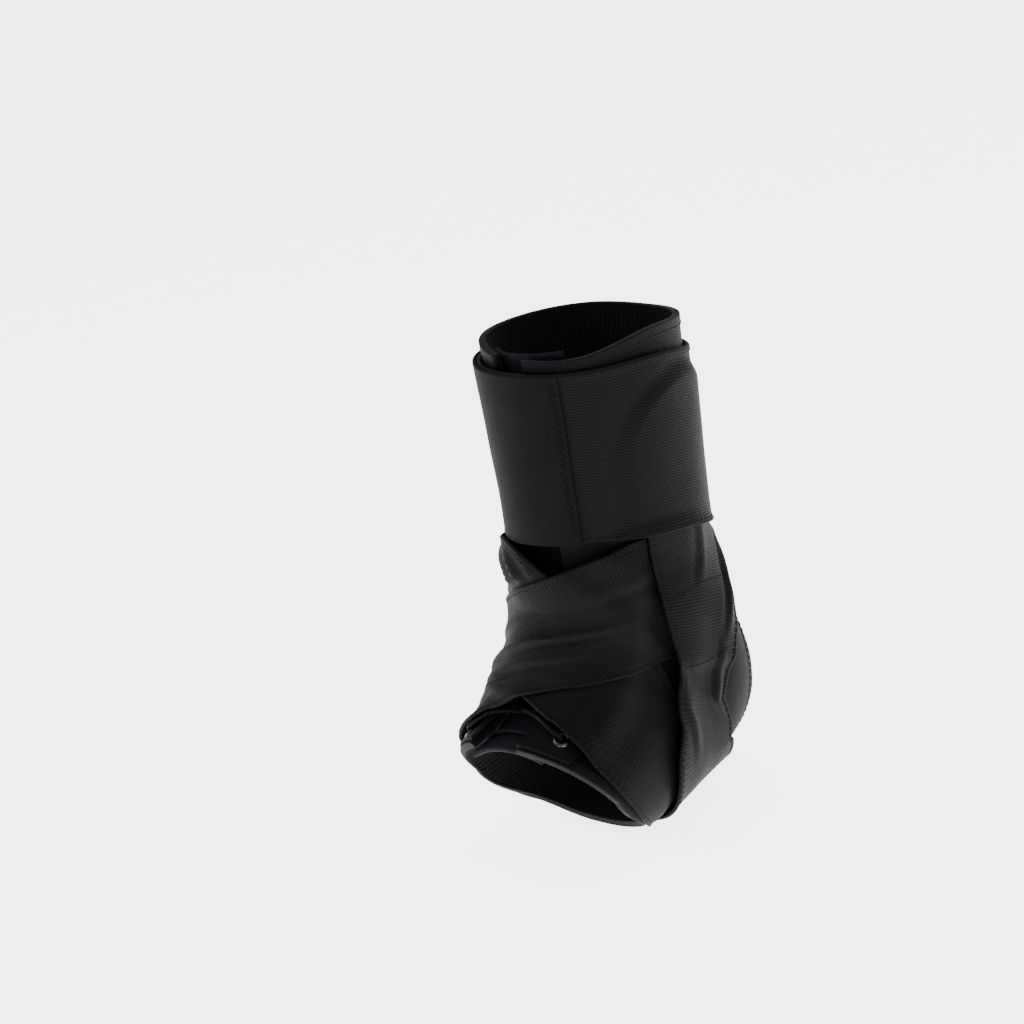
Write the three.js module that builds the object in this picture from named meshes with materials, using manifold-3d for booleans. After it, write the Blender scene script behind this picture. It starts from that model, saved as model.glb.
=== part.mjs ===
// A lace-up ankle brace for the left foot, in the form it has when worn: a fabric boot with an open toe
// and heel, laced in front over a tongue, two straps that cross in a figure of eight, and a wide cuff.
// Millimetres. +Z runs up along the leg, -Y points to the toes and +X is the outer side of the foot.
// The origin is the middle of the ankle joint.
//
// Every layer follows one skin surface, skin(station, angle). A station is a numbered section, from the
// calf down through the bend of the ankle to the foot. An angle is 0 in front, 90 on the outer side, 180
// at the heel and sole, and -90 on the inner side. A layer lies between two distances from that surface.
import * as THREE from 'three';
import { mergeVertices } from 'three/addons/utils/BufferGeometryUtils.js';
import Module from 'manifold-3d';

const wasm = await Module();
wasm.setup();

// Sizes of the wearer's ankle that the brace is fitted to
const LEG_HEIGHT = 140;
const ANKLE_WIDTH = 64;
const ANKLE_DEPTH = 72;
const BEND_RADIUS = 34;
const BEND_FORWARD = 72;
const BEND_HEIGHT = 37;
const FOOT_LENGTH = 30;

// Walls and clearances
const FIT_GAP = 0.4;
const STRAP_PLAY = 0.9;
const SHELL_WALL = 2.4;
const TONGUE_WALL = 2.4;
const FACING_WALL = 1.2;
const STRAP_WALL = 1.5;
const CUFF_WALL = 1.8;
const TAB_WALL = 1.4;

// Lacing. EDGE_CROSSING: share of the way between two eyelets where the lace passes the boot's edge.
const LACING_GAP = 26;
const EDGE_CROSSING = 0.22;
const TONGUE_WIDTH = 46;
const FACING_WIDTH = 23;
const EYELET_COUNT = 4;
const EYELET_INSET = 14;
const EYELET_SPACING = 19;
const EYELET_OUTER = 7;
const EYELET_BORE = 4.2;
const EYELET_RIM = 0.9;
const EYELET_TUBE = 0.6;
const EYELET_PLAY = 0.4;
const LACE_DIAMETER = 1.8;

// Straps and cuff
const STRAP_WIDTH = 50;
const STRAP_LIFT = 4.5;
const FOLD_HEIGHT = 1.4;
const CUFF_HEIGHT = 72;
const CUFF_MIDDLE = 88;

// Heel opening: its middle lies behind and below the ankle, and it faces down a little
const HEEL_OPENING_WIDTH = 51;
const HEEL_OPENING_HEIGHT = 60;
const HEEL_OPENING_BACK = 32;
const HEEL_OPENING_DROP = 22;
const HEEL_OPENING_TILT = 16;

// Sizes and counts of the facets
const FACET = 8.5;
const SHELL_LEG_ROWS = 4;
const SHELL_FOOT_ROWS = 16;
const SHELL_SIDES = 30;
const TONGUE_ROWS = 17;
const TONGUE_SIDES = 5;
const FACING_ROWS = 13;
const FACING_SIDES = 3;
const CUFF_ROWS = 6;
const CUFF_SIDES = 36;
const TAB_FACET = 10;
const EYELET_SIDES = 8;
const OPENING_SIDES = 28;
const LACE_ARC_SIDES = 3;
const BAR_STEPS = 8;
const BAND_SPOTS = 24;
const ROUTE_SPOTS = 6;
const MERGE_DISTANCE = 1e-4;

// Sections of the skin. at: share of LEG_HEIGHT, degrees of the bend, or share of FOOT_LENGTH.
// front: share of BEND_RADIUS. depth: share of ANKLE_DEPTH. inner and outer: shares of ANKLE_WIDTH.
// square: 2 is a round back or sole, and more is a squarer one.
const SECTIONS = [
  { part: 'leg', at: 1.00, front: 1.015, depth: 1.083, inner: 0.555, outer: 0.539, square: 2.0 },
  { part: 'leg', at: 0.75, front: 1.029, depth: 1.035, inner: 0.531, outer: 0.523, square: 2.0 },
  { part: 'leg', at: 0.50, front: 1.015, depth: 1.007, inner: 0.500, outer: 0.500, square: 2.0 },
  { part: 'bend', at: 0, front: 1.000, depth: 1.000, inner: 0.500, outer: 0.500, square: 2.0 },
  { part: 'bend', at: 15, front: 1.044, depth: 1.118, inner: 0.531, outer: 0.547, square: 2.0 },
  { part: 'bend', at: 30, front: 1.074, depth: 1.396, inner: 0.547, outer: 0.563, square: 2.1 },
  { part: 'bend', at: 40, front: 1.118, depth: 1.333, inner: 0.547, outer: 0.563, square: 2.3 },
  { part: 'bend', at: 50, front: 1.191, depth: 1.118, inner: 0.547, outer: 0.563, square: 2.5 },
  { part: 'bend', at: 60, front: 1.279, depth: 0.951, inner: 0.563, outer: 0.578, square: 2.5 },
  { part: 'bend', at: 70, front: 1.368, depth: 0.840, inner: 0.578, outer: 0.594, square: 2.6 },
  { part: 'bend', at: 80, front: 1.456, depth: 0.771, inner: 0.594, outer: 0.609, square: 2.6 },
  { part: 'foot', at: 0.5, front: 1.544, depth: 0.722, inner: 0.625, outer: 0.641, square: 2.6 },
  { part: 'foot', at: 1.0, front: 1.662, depth: 0.660, inner: 0.656, outer: 0.672, square: 2.6 },
];

// Rims of the boot, as stations, and the cuff's edges, as shares of CUFF_HEIGHT over or under its middle
const RIMS = [
  { angle: -180, top: 0.29, toe: 9.00, cuffTop: 0.42, cuffBottom: -0.58 },
  { angle: -135, top: 0.20, toe: 9.15, cuffTop: 0.47, cuffBottom: -0.55 },
  { angle: -90, top: 0.16, toe: 10.15, cuffTop: 0.53, cuffBottom: -0.50 },
  { angle: -45, top: 0.16, toe: 10.80, cuffTop: 0.55, cuffBottom: -0.46 },
  { angle: 0, top: 0.27, toe: 11.00, cuffTop: 0.53, cuffBottom: -0.44 },
  { angle: 45, top: 0.34, toe: 10.75, cuffTop: 0.50, cuffBottom: -0.45 },
  { angle: 90, top: 0.22, toe: 10.15, cuffTop: 0.49, cuffBottom: -0.49 },
  { angle: 135, top: 0.28, toe: 9.15, cuffTop: 0.42, cuffBottom: -0.58 },
];

// The open strip in front. middle: its angle. gap: share of LACING_GAP.
const LACING = [
  { station: 0, middle: 0, gap: 0.50 },
  { station: 3, middle: 0, gap: 0.70 },
  { station: 6, middle: -4, gap: 0.85 },
  { station: 9, middle: -7, gap: 0.95 },
  { station: 12, middle: -9, gap: 1.05 },
];
const LACING_TOP = 3.0;
const LACING_RAISED = 3.6;
const FIRST_EYELET = 10.25;
const LACING_TOE = 11.25;
const TONGUE_TOP = 0.25;
const TONGUE_TOE = 10.85;
const FACING_SHORT = 0.05;

// Route of a strap's middle line, from its sewn end over the instep, under the sole and up to the cuff.
// angle is for the strap that starts on the outer side. width: share of STRAP_WIDTH. lift: share of
// STRAP_LIFT by which the leading edge stands off.
const WRAP = [
  { station: 3.90, angle: 126, width: 0.90, lift: 0 },
  { station: 3.65, angle: 95, width: 1.00, lift: 0 },
  { station: 3.60, angle: 65, width: 1.00, lift: 0 },
  { station: 4.15, angle: 36, width: 1.00, lift: 0 },
  { station: 5.35, angle: 4, width: 1.00, lift: 0 },
  { station: 6.95, angle: -30, width: 1.00, lift: 0 },
  { station: 8.05, angle: -60, width: 1.00, lift: 0 },
  { station: 8.10, angle: -85, width: 1.00, lift: 0 },
  { station: 7.70, angle: -112, width: 1.00, lift: 0 },
  { station: 7.50, angle: -145, width: 0.94, lift: 0 },
  { station: 7.45, angle: -180, width: 0.90, lift: 0 },
  { station: 7.40, angle: -215, width: 0.88, lift: 0 },
  { station: 7.20, angle: -246, width: 0.80, lift: 0.4 },
  { station: 6.40, angle: -267, width: 0.66, lift: 0.9 },
  { station: 5.60, angle: -275, width: 0.57, lift: 1 },
  { station: 4.80, angle: -275, width: 0.64, lift: 0.8 },
  { station: 3.80, angle: -262, width: 0.86, lift: 0.4 },
  { station: 2.80, angle: -250, width: 1.00, lift: 0 },
  { station: 1.60, angle: -250, width: 1.00, lift: 0 },
];
const FIRST_RUN_END = 2;
const LAST_RUN_START = 14;

// Folds across the instep of the outer strap. along: place on WRAP. across: -1 is the upper edge, 1 the
// lower. height: share of FOLD_HEIGHT.
const FOLDS = [
  { along: 4.2, across: 0.12, reach: 1.6, height: 1.0 },
  { along: 4.6, across: 0.52, reach: 1.2, height: 0.7 },
  { along: 4.9, across: -0.55, reach: 0.9, height: 0.5 },
];
const FOLD_BREADTH = 0.16;

// How far before the upper edge a lift would start, as a share of the way to the leading edge
const LIFT_START = 0.67;

// Arc of the cuff's smooth end
const TAB_FROM = -105;
const TAB_TO = 33;

// Distances from the skin, worked out from the walls
const SHELL_LOW = FIT_GAP;
const SHELL_HIGH = SHELL_LOW + SHELL_WALL;
const FACING_LOW = SHELL_HIGH + FIT_GAP;
const FACING_HIGH = FACING_LOW + FACING_WALL;
const EYELET_LOW = FACING_HIGH + FIT_GAP;
const EYELET_HIGH = EYELET_LOW + EYELET_RIM;
const LACE_RADIUS = LACE_DIAMETER / 2;
const LACE_OVER = EYELET_HIGH + FIT_GAP + LACE_RADIUS;
const LACE_OVER_FACING = FACING_HIGH + FIT_GAP + LACE_RADIUS;
const LACE_UNDER = SHELL_LOW - FIT_GAP - LACE_RADIUS;
const TONGUE_HIGH = LACE_UNDER - LACE_RADIUS - FIT_GAP;
const TONGUE_LOW = TONGUE_HIGH - TONGUE_WALL;
const STRAP_BASE = SHELL_HIGH + STRAP_PLAY;
const STRAP_PITCH = STRAP_WALL + STRAP_PLAY;
const LACING_RAISE = LACE_OVER + LACE_RADIUS - SHELL_HIGH;

// A layer stays raised for a margin beside what it passes over, and then falls back to the skin
const EDGE_MARGIN = 5.5;
const EDGE_FALL = 10;

const rad = THREE.MathUtils.degToRad;
const clamp = THREE.MathUtils.clamp;
const mix = THREE.MathUtils.lerp;

function smooth(x) {
  const t = clamp(x, 0, 1);
  return t * t * (3 - 2 * t);
}

// A smooth curve through one column of a table, at a row number that need not be whole
function column(table, name, row) {
  const i = clamp(Math.floor(row), 0, table.length - 2);
  const t = row - i;
  const p0 = table[Math.max(i - 1, 0)][name];
  const p1 = table[i][name];
  const p2 = table[i + 1][name];
  const p3 = table[Math.min(i + 2, table.length - 1)][name];
  const bend = (2 * p0 - 5 * p1 + 4 * p2 - p3) * t * t + (3 * p1 - p0 - 3 * p2 + p3) * t * t * t;
  return 0.5 * (2 * p1 + (p2 - p0) * t + bend);
}

// A value from a table whose first column is a rising key
function lookup(table, key, name, value) {
  let i = 0;
  while (i < table.length - 2 && table[i + 1][key] < value) i += 1;
  const share = (value - table[i][key]) / (table[i + 1][key] - table[i][key]);
  return mix(table[i][name], table[i + 1][name], clamp(share, 0, 1));
}

// A value from RIMS, which goes all the way round
function rim(name, angle) {
  const turn = 360 / RIMS.length;
  const place = (((angle + 180) % 360) + 360) % 360 / turn;
  const i = Math.floor(place);
  const n = RIMS.length;
  const at = (k) => RIMS[(k + n) % n][name];
  const ring = [at(i - 1), at(i), at(i + 1), at(i + 2)].map((v) => ({ v }));
  return column(ring, 'v', 1 + place - i);
}

// The plane of a section: where its radii start, and which way they point
const BEND_END = SECTIONS.filter((row) => row.part !== 'foot').length - 1;
const BEND_START = SECTIONS.findIndex((row) => row.part === 'bend');
const TOE_MIDDLE = RIMS.find((row) => row.angle === 0).toe;
const PLANES = SECTIONS.map((row) => {
  const tilt = row.part === 'leg' ? 0 : row.part === 'bend' ? row.at : SECTIONS[BEND_END].at;
  const forward = row.part === 'foot' ? row.at * FOOT_LENGTH : 0;
  const lift = row.part === 'leg' ? row.at * LEG_HEIGHT - BEND_HEIGHT : 0;
  return {
    tilt,
    y: -BEND_FORWARD - forward * Math.sin(rad(tilt)),
    z: BEND_HEIGHT + lift - forward * Math.cos(rad(tilt)),
  };
});

function skin(station, angle) {
  const i = clamp(Math.floor(station), 0, PLANES.length - 2);
  const t = station - i;
  const tilt = rad(mix(PLANES[i].tilt, PLANES[i + 1].tilt, t));
  const front = column(SECTIONS, 'front', station) * BEND_RADIUS;
  const half = column(SECTIONS, 'depth', station) * ANKLE_DEPTH / 2;
  const side = column(SECTIONS, Math.sin(rad(angle)) > 0 ? 'outer' : 'inner', station) * ANKLE_WIDTH;
  const c = Math.cos(rad(angle));
  const s = Math.sin(rad(angle));
  const power = 2 / (c < 0 ? column(SECTIONS, 'square', station) : 2);
  const x = side * Math.sign(s) * Math.abs(s) ** power;
  const r = front + half - half * Math.sign(c) * Math.abs(c) ** power;
  return new THREE.Vector3(
    x,
    mix(PLANES[i].y, PLANES[i + 1].y, t) + r * Math.cos(tilt),
    mix(PLANES[i].z, PLANES[i + 1].z, t) - r * Math.sin(tilt),
  );
}

const NUDGE_STATION = 0.01;
const NUDGE_ANGLE = 0.5;
const WALK_STEP = 3;

function slopes(station, angle) {
  const down = skin(station + NUDGE_STATION, angle).sub(skin(station - NUDGE_STATION, angle));
  const round = skin(station, angle + NUDGE_ANGLE).sub(skin(station, angle - NUDGE_ANGLE));
  return {
    down: down.divideScalar(2 * NUDGE_STATION),
    round: round.divideScalar(2 * NUDGE_ANGLE),
  };
}

function outward(station, angle) {
  const { down, round } = slopes(station, angle);
  return down.cross(round).normalize();
}

function lifted(station, angle, distance) {
  return skin(station, angle).addScaledVector(outward(station, angle), distance);
}

// The angle that lies a length away from another, measured round the skin of one section
function angleAlong(station, angle, length) {
  const count = Math.max(1, Math.ceil(Math.abs(length) / WALK_STEP));
  let at = angle;
  for (let k = 0; k < count; k += 1) {
    at += length / count / slopes(station, at).round.length();
  }
  return at;
}

// The station that lies a length up the leg from another, on a line that place gives as an angle
function stationUp(station, length, place) {
  const count = Math.max(1, Math.ceil(length / WALK_STEP));
  let at = station;
  for (let k = 0; k < count; k += 1) {
    at -= length / count / slopes(at, place(at)).down.length();
  }
  return at;
}

// Turns a grid of low and high points into one closed solid. grid[i][j] = { low, high }.
function layer(grid, closedRound = false) {
  const rows = grid.length;
  const across = grid[0].length;
  const points = [];
  for (const row of grid) {
    for (const cell of row) points.push(cell.high, cell.low);
  }
  const high = (i, j) => 2 * (i * across + (j % across));
  const low = (i, j) => high(i, j) + 1;
  const faces = [];
  const quad = (a, b, c, d) => faces.push(a, b, c, a, c, d);
  const last = closedRound ? across : across - 1;
  for (let i = 0; i < rows - 1; i += 1) {
    for (let j = 0; j < last; j += 1) {
      quad(high(i, j), high(i + 1, j), high(i + 1, j + 1), high(i, j + 1));
      quad(low(i, j), low(i, j + 1), low(i + 1, j + 1), low(i + 1, j));
    }
    if (!closedRound) {
      quad(high(i, 0), low(i, 0), low(i + 1, 0), high(i + 1, 0));
      quad(high(i, last), high(i + 1, last), low(i + 1, last), low(i, last));
    }
  }
  for (let j = 0; j < last; j += 1) {
    quad(high(0, j), high(0, j + 1), low(0, j + 1), low(0, j));
    quad(high(rows - 1, j), low(rows - 1, j), low(rows - 1, j + 1), high(rows - 1, j + 1));
  }
  const geometry = new THREE.BufferGeometry().setFromPoints(points);
  geometry.setIndex(faces);
  return volume(geometry) < 0 ? turned(geometry) : geometry;
}

function volume(geometry) {
  const place = geometry.getAttribute('position');
  const index = geometry.getIndex().array;
  const [a, b, c] = [new THREE.Vector3(), new THREE.Vector3(), new THREE.Vector3()];
  let sum = 0;
  for (let k = 0; k < index.length; k += 3) {
    a.fromBufferAttribute(place, index[k]);
    b.fromBufferAttribute(place, index[k + 1]);
    c.fromBufferAttribute(place, index[k + 2]);
    sum += a.dot(b.cross(c)) / 6;
  }
  return sum;
}

function turned(geometry) {
  const index = Array.from(geometry.getIndex().array);
  for (let k = 0; k < index.length; k += 3) {
    [index[k + 1], index[k + 2]] = [index[k + 2], index[k + 1]];
  }
  geometry.setIndex(index);
  return geometry;
}

function toSolid(geometry) {
  const bare = geometry.clone();
  bare.deleteAttribute('normal');
  bare.deleteAttribute('uv');
  const merged = mergeVertices(bare, MERGE_DISTANCE);
  return new wasm.Manifold(new wasm.Mesh({
    numProp: 3,
    vertProperties: Float32Array.from(merged.getAttribute('position').array),
    triVerts: Uint32Array.from(merged.getIndex().array),
  }));
}

function fromSolid(solid) {
  const mesh = solid.getMesh();
  const geometry = new THREE.BufferGeometry();
  geometry.setAttribute('position', new THREE.BufferAttribute(mesh.vertProperties, 3));
  geometry.setIndex(new THREE.BufferAttribute(mesh.triVerts, 1));
  return geometry;
}

function cut(geometry, cutters) {
  let solid = toSolid(geometry);
  for (const cutter of cutters) solid = solid.subtract(toSolid(cutter));
  return fromSolid(solid);
}

// Lines on the skin
const lacingMiddle = (station) => lookup(LACING, 'station', 'middle', station);
const lacingHalf = (station) => lookup(LACING, 'station', 'gap', station) * LACING_GAP / 2;
const beside = (station, side, length) => angleAlong(station, lacingMiddle(station), side * length);
const gapEdge = (station, side) => beside(station, side, lacingHalf(station));

function spaced(from, to, count) {
  return Array.from({ length: count + 1 }, (_, k) => mix(from, to, k / count));
}

// How far a band covers a place: 1 under it and just beside it, falling to 0 further off
function coverage(place, band) {
  let nearest = Infinity;
  for (const spot of band) {
    nearest = Math.min(nearest, place.distanceTo(spot.place) - spot.half);
  }
  return 1 - smooth((nearest - EDGE_MARGIN) / EDGE_FALL);
}

const lacingBand = spaced(LACING_RAISED, LACING_TOE, BAND_SPOTS).map((station) => ({
  place: skin(station, lacingMiddle(station)),
  half: lacingHalf(station) + EYELET_INSET + EYELET_OUTER / 2,
}));

// Height of the boot and its lacing under a strap
const bootTop = (place) => STRAP_BASE + LACING_RAISE * coverage(place, lacingBand);

const NUDGE_ROUTE = 0.05;

// One place on a strap's middle line, with the direction across the strap
function routeSpot(t, side) {
  const at = (row) => [column(WRAP, 'station', row), side * column(WRAP, 'angle', row)];
  const ahead = skin(...at(Math.min(t + NUDGE_ROUTE, WRAP.length - 1)));
  const behind = skin(...at(Math.max(t - NUDGE_ROUTE, 0)));
  const [station, angle] = at(t);
  const along = ahead.sub(behind).normalize();
  const across = outward(station, angle).cross(along).multiplyScalar(side).normalize();
  const half = column(WRAP, 'width', t) * STRAP_WIDTH / 2;
  return { t, station, angle, across, half, place: skin(station, angle) };
}

// Walks over the skin from a spot on a route, across the strap
function walk(spot, distance) {
  const count = Math.max(1, Math.ceil(Math.abs(distance) / WALK_STEP));
  let { station, angle } = spot;
  for (let k = 0; k < count; k += 1) {
    const { down, round } = slopes(station, angle);
    const dd = down.dot(down);
    const dr = down.dot(round);
    const rr = round.dot(round);
    const wd = spot.across.dot(down);
    const wr = spot.across.dot(round);
    const det = dd * rr - dr * dr;
    const stepDown = (wd * rr - wr * dr) / det;
    const stepRound = (wr * dd - wd * dr) / det;
    const length = down.clone().multiplyScalar(stepDown).addScaledVector(round, stepRound).length();
    station += stepDown / length * distance / count;
    angle += stepRound / length * distance / count;
  }
  return { station, angle };
}

// A strap's middle line in steps that are equal on its longer edge
function route(side) {
  const rows = WRAP.length - 1;
  const fine = spaced(0, rows, rows * ROUTE_SPOTS).map((t) => routeSpot(t, side));
  const edges = fine.map((spot) => [-1, 0, 1].map((share) => {
    const { station, angle } = walk(spot, share * spot.half);
    return skin(station, angle);
  }));
  const lengths = [0];
  for (let k = 1; k < fine.length; k += 1) {
    const steps = edges[k].map((edge, e) => edge.distanceTo(edges[k - 1][e]));
    lengths.push(lengths[k - 1] + Math.max(...steps));
  }
  const total = lengths[lengths.length - 1];
  return spaced(0, total, Math.ceil(total / FACET)).map((length) => {
    let k = 1;
    while (k < fine.length - 1 && lengths[k] < length) k += 1;
    const share = (length - lengths[k - 1]) / (lengths[k] - lengths[k - 1]);
    return routeSpot(mix(fine[k - 1].t, fine[k].t, share), side);
  });
}

const inner = route(-1);
const outer = route(1);
const firstRun = (spots) => spots.filter((spot) => spot.t <= FIRST_RUN_END);
const lastRun = (spots) => spots.filter((spot) => spot.t >= LAST_RUN_START);

// How many thicknesses of a strap lie at a place
function turns(place, spots) {
  const doubled = Math.min(coverage(place, firstRun(spots)), coverage(place, lastRun(spots)));
  return coverage(place, spots) + doubled;
}

function foldHeight(t, across) {
  let height = 0;
  for (const fold of FOLDS) {
    const along = 1 - smooth(Math.abs(t - fold.along) / fold.reach);
    const side = Math.exp(-(((across - fold.across) / FOLD_BREADTH) ** 2));
    height += fold.height * FOLD_HEIGHT * along * side;
  }
  return height;
}

// How far the outer strap's leading edge stands off, beside its folds
function slack(t, across) {
  const i = Math.min(Math.floor(t), WRAP.length - 2);
  const lift = mix(WRAP[i].lift, WRAP[i + 1].lift, t - i) * STRAP_LIFT;
  return lift * smooth(mix(-LIFT_START, 1, (across + 1) / 2)) + foldHeight(t, across);
}

// Distance of a strap's lower face from the skin. across runs from -1 to 1, the leading edge. under is
// the strap that this one crosses over.
function strapLow(place, t, across, spots, under) {
  let height = bootTop(place);
  if (t >= LAST_RUN_START - 1) height += STRAP_PITCH * coverage(place, firstRun(spots));
  if (under) height += STRAP_PITCH * turns(place, under) + slack(t, across);
  return height;
}

function strap(spots, under) {
  const shares = spaced(-1, 1, Math.ceil(STRAP_WIDTH / FACET));
  return layer(spots.map((spot) => shares.map((share) => {
    const { station, angle } = walk(spot, share * spot.half);
    const place = skin(station, angle);
    const low = strapLow(place, spot.t, share, spots, under);
    return {
      low: lifted(station, angle, low),
      high: lifted(station, angle, low + STRAP_WALL),
    };
  })));
}

function sheet(stations, angles, low, high, closedRound) {
  return layer(stations.map((row) => angles(row).map(({ station, angle }) => ({
    low: lifted(station, angle, low(station, angle)),
    high: lifted(station, angle, high(station, angle)),
  }))), closedRound);
}

function bootShell() {
  const legRows = spaced(0, BEND_START, SHELL_LEG_ROWS);
  const footRows = spaced(BEND_START, TOE_MIDDLE, SHELL_FOOT_ROWS).slice(1);
  const grid = (row) => spaced(0, 1, SHELL_SIDES).map((share) => {
    const angle = mix(gapEdge(row, 1), 360 + gapEdge(row, -1), share);
    return { station: mix(rim('top', angle), rim('toe', angle), row / TOE_MIDDLE), angle };
  });
  return sheet([...legRows, ...footRows], grid, () => SHELL_LOW, () => SHELL_HIGH);
}

function heelCutter() {
  const cutter = new THREE.CylinderGeometry(0.5, 0.5, ANKLE_DEPTH, OPENING_SIDES);
  cutter.scale(HEEL_OPENING_WIDTH, 1, HEEL_OPENING_HEIGHT);
  cutter.rotateX(rad(-HEEL_OPENING_TILT));
  return cutter.translate(0, HEEL_OPENING_BACK, -HEEL_OPENING_DROP);
}

function tongue() {
  const rows = spaced(TONGUE_TOP, TONGUE_TOE, TONGUE_ROWS);
  const grid = (row) => spaced(-1, 1, TONGUE_SIDES).map((share) => (
    { station: row, angle: beside(row, share, TONGUE_WIDTH / 2) }
  ));
  return sheet(rows, grid, () => TONGUE_LOW, () => TONGUE_HIGH);
}

function facing(side) {
  const grid = (row) => spaced(0, 1, FACING_SIDES).map((share) => {
    const angle = beside(row, side, lacingHalf(row) + share * FACING_WIDTH);
    const down = (row - LACING_TOP) / (TOE_MIDDLE - LACING_TOP);
    return { station: mix(LACING_TOP, rim('toe', angle) - FACING_SHORT, down), angle };
  });
  const rows = spaced(LACING_TOP, TOE_MIDDLE, FACING_ROWS);
  return sheet(rows, grid, () => FACING_LOW, () => FACING_HIGH);
}

// Eyelets: their places on each side, counted from the toe
function eyeletPlaces(side) {
  const place = (station) => beside(station, side, lacingHalf(station) + EYELET_INSET);
  return Array.from({ length: EYELET_COUNT }, (_, k) => {
    const station = k ? stationUp(FIRST_EYELET, k * EYELET_SPACING, place) : FIRST_EYELET;
    return { station, angle: place(station), side };
  });
}

const eyelets = { 1: eyeletPlaces(1), '-1': eyeletPlaces(-1) };

function standOn(geometry, spot) {
  const up = outward(spot.station, spot.angle);
  const turn = new THREE.Quaternion().setFromUnitVectors(new THREE.Vector3(0, 1, 0), up);
  geometry.applyQuaternion(turn);
  const seat = skin(spot.station, spot.angle);
  return geometry.translate(seat.x, seat.y, seat.z);
}

function eyeletHole(spot) {
  const radius = EYELET_BORE / 2 + EYELET_TUBE + EYELET_PLAY;
  const length = FACING_HIGH - SHELL_LOW + 4 * FIT_GAP;
  const hole = new THREE.CylinderGeometry(radius, radius, length, EYELET_SIDES);
  hole.translate(0, (FACING_HIGH + SHELL_LOW) / 2, 0);
  return standOn(hole, spot);
}

function eyelet(spot) {
  const bore = EYELET_BORE / 2;
  const tube = bore + EYELET_TUBE;
  const rimRadius = EYELET_OUTER / 2;
  const profile = [
    [bore, SHELL_LOW], [tube, SHELL_LOW], [tube, EYELET_LOW], [rimRadius, EYELET_LOW],
    [rimRadius, EYELET_HIGH], [bore, EYELET_HIGH], [bore, SHELL_LOW],
  ];
  const outline = profile.map(([r, h]) => new THREE.Vector2(r, h));
  const ring = new THREE.LatheGeometry(outline, EYELET_SIDES);
  ring.deleteAttribute('normal');
  ring.deleteAttribute('uv');
  return standOn(mergeVertices(ring, MERGE_DISTANCE), spot);
}

// The lace's route is sampled at its own points, which lie closer where it bends
class LaceRoute extends THREE.CatmullRomCurve3 {
  getUtoTmapping(u) {
    return u;
  }
}

// Passes up through an eyelet, from under the boot to over it. Each step's first value is its distance
// towards the tongue, in lace diameters.
function throughEyelet(spot) {
  const steps = [
    [2.2, LACE_UNDER], [0.72, LACE_UNDER], [0.05, SHELL_LOW + LACE_RADIUS], [0, FACING_LOW],
    [0.05, EYELET_HIGH], [0.72, LACE_OVER], [2.2, LACE_OVER],
  ].map(([diameters, height]) => [diameters * LACE_DIAMETER, height]);
  return steps.map(([inward, height]) => (
    lifted(spot.station, angleAlong(spot.station, spot.angle, -spot.side * inward), height)
  ));
}

// Crosses from one eyelet to the next on the other side: over the near facing, across the tongue at a
// height, and under the far side of the boot
function crossing(from, to, height) {
  const station = mix(from.station, to.station, 0.5);
  const nearEdge = mix(from.station, to.station, EDGE_CROSSING);
  const farEdge = mix(to.station, from.station, EDGE_CROSSING);
  const farHalf = lacingHalf(station) / 2;
  return [
    lifted(nearEdge, gapEdge(nearEdge, from.side), LACE_OVER_FACING),
    lifted(station, lacingMiddle(station), height),
    lifted(mix(station, farEdge, 0.5), beside(station, to.side, farHalf), LACE_UNDER),
    lifted(farEdge, gapEdge(farEdge, to.side), LACE_UNDER),
  ];
}

// Half of the lace, from the toe up through every eyelet of a zigzag
function laceHalf(start, height) {
  const points = [];
  let side = start;
  for (let k = 0; k < EYELET_COUNT; k += 1) {
    points.push(...throughEyelet(eyelets[side][k]));
    if (k < EYELET_COUNT - 1) {
      points.push(...crossing(eyelets[side][k], eyelets[-side][k + 1], height));
    }
    side = -side;
  }
  const end = eyelets[-side][EYELET_COUNT - 1];
  points.push(lifted(end.station, beside(end.station, -side, lacingHalf(end.station)), LACE_OVER));
  points.push(lifted(end.station, beside(end.station, -side, LACE_DIAMETER), LACE_OVER));
  return points;
}

function lace() {
  const over = LACE_UNDER + LACE_DIAMETER + FIT_GAP;
  const [first, second] = [laceHalf(1, over), laceHalf(-1, LACE_UNDER)];
  const reach = lacingHalf(FIRST_EYELET) + EYELET_INSET - EYELET_OUTER;
  const bar = spaced(-reach, reach, BAR_STEPS).map((length) => (
    lifted(FIRST_EYELET, beside(FIRST_EYELET, Math.sign(length), Math.abs(length)), LACE_UNDER)
  ));
  const path = new LaceRoute([...second.reverse(), ...bar, ...first], false, 'centripetal');
  const section = new THREE.Shape().absarc(0, 0, LACE_RADIUS, 0, 2 * Math.PI, false);
  const tube = new THREE.ExtrudeGeometry(section, {
    extrudePath: path,
    steps: path.points.length - 1,
    curveSegments: LACE_ARC_SIDES,
    bevelEnabled: false,
  });
  tube.deleteAttribute('normal');
  tube.deleteAttribute('uv');
  return mergeVertices(tube, MERGE_DISTANCE);
}

const HALVINGS = 30;

// The strap ends that lie under the cuff
const cuffLayers = [inner, outer].flatMap((spots) => [firstRun(spots), lastRun(spots)]);

function cuffLow(station, angle) {
  const place = skin(station, angle);
  const under = cuffLayers.reduce((sum, band) => sum + coverage(place, band), 0);
  return STRAP_BASE + STRAP_PITCH * under;
}

// The station at a height on the leg, at one angle, found by halving
function stationAt(height, angle) {
  let [above, below] = [0, (BEND_START + BEND_END) / 2];
  for (let k = 0; k < HALVINGS; k += 1) {
    const middle = (above + below) / 2;
    if (skin(middle, angle).z > height) above = middle;
    else below = middle;
  }
  return (above + below) / 2;
}

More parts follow.
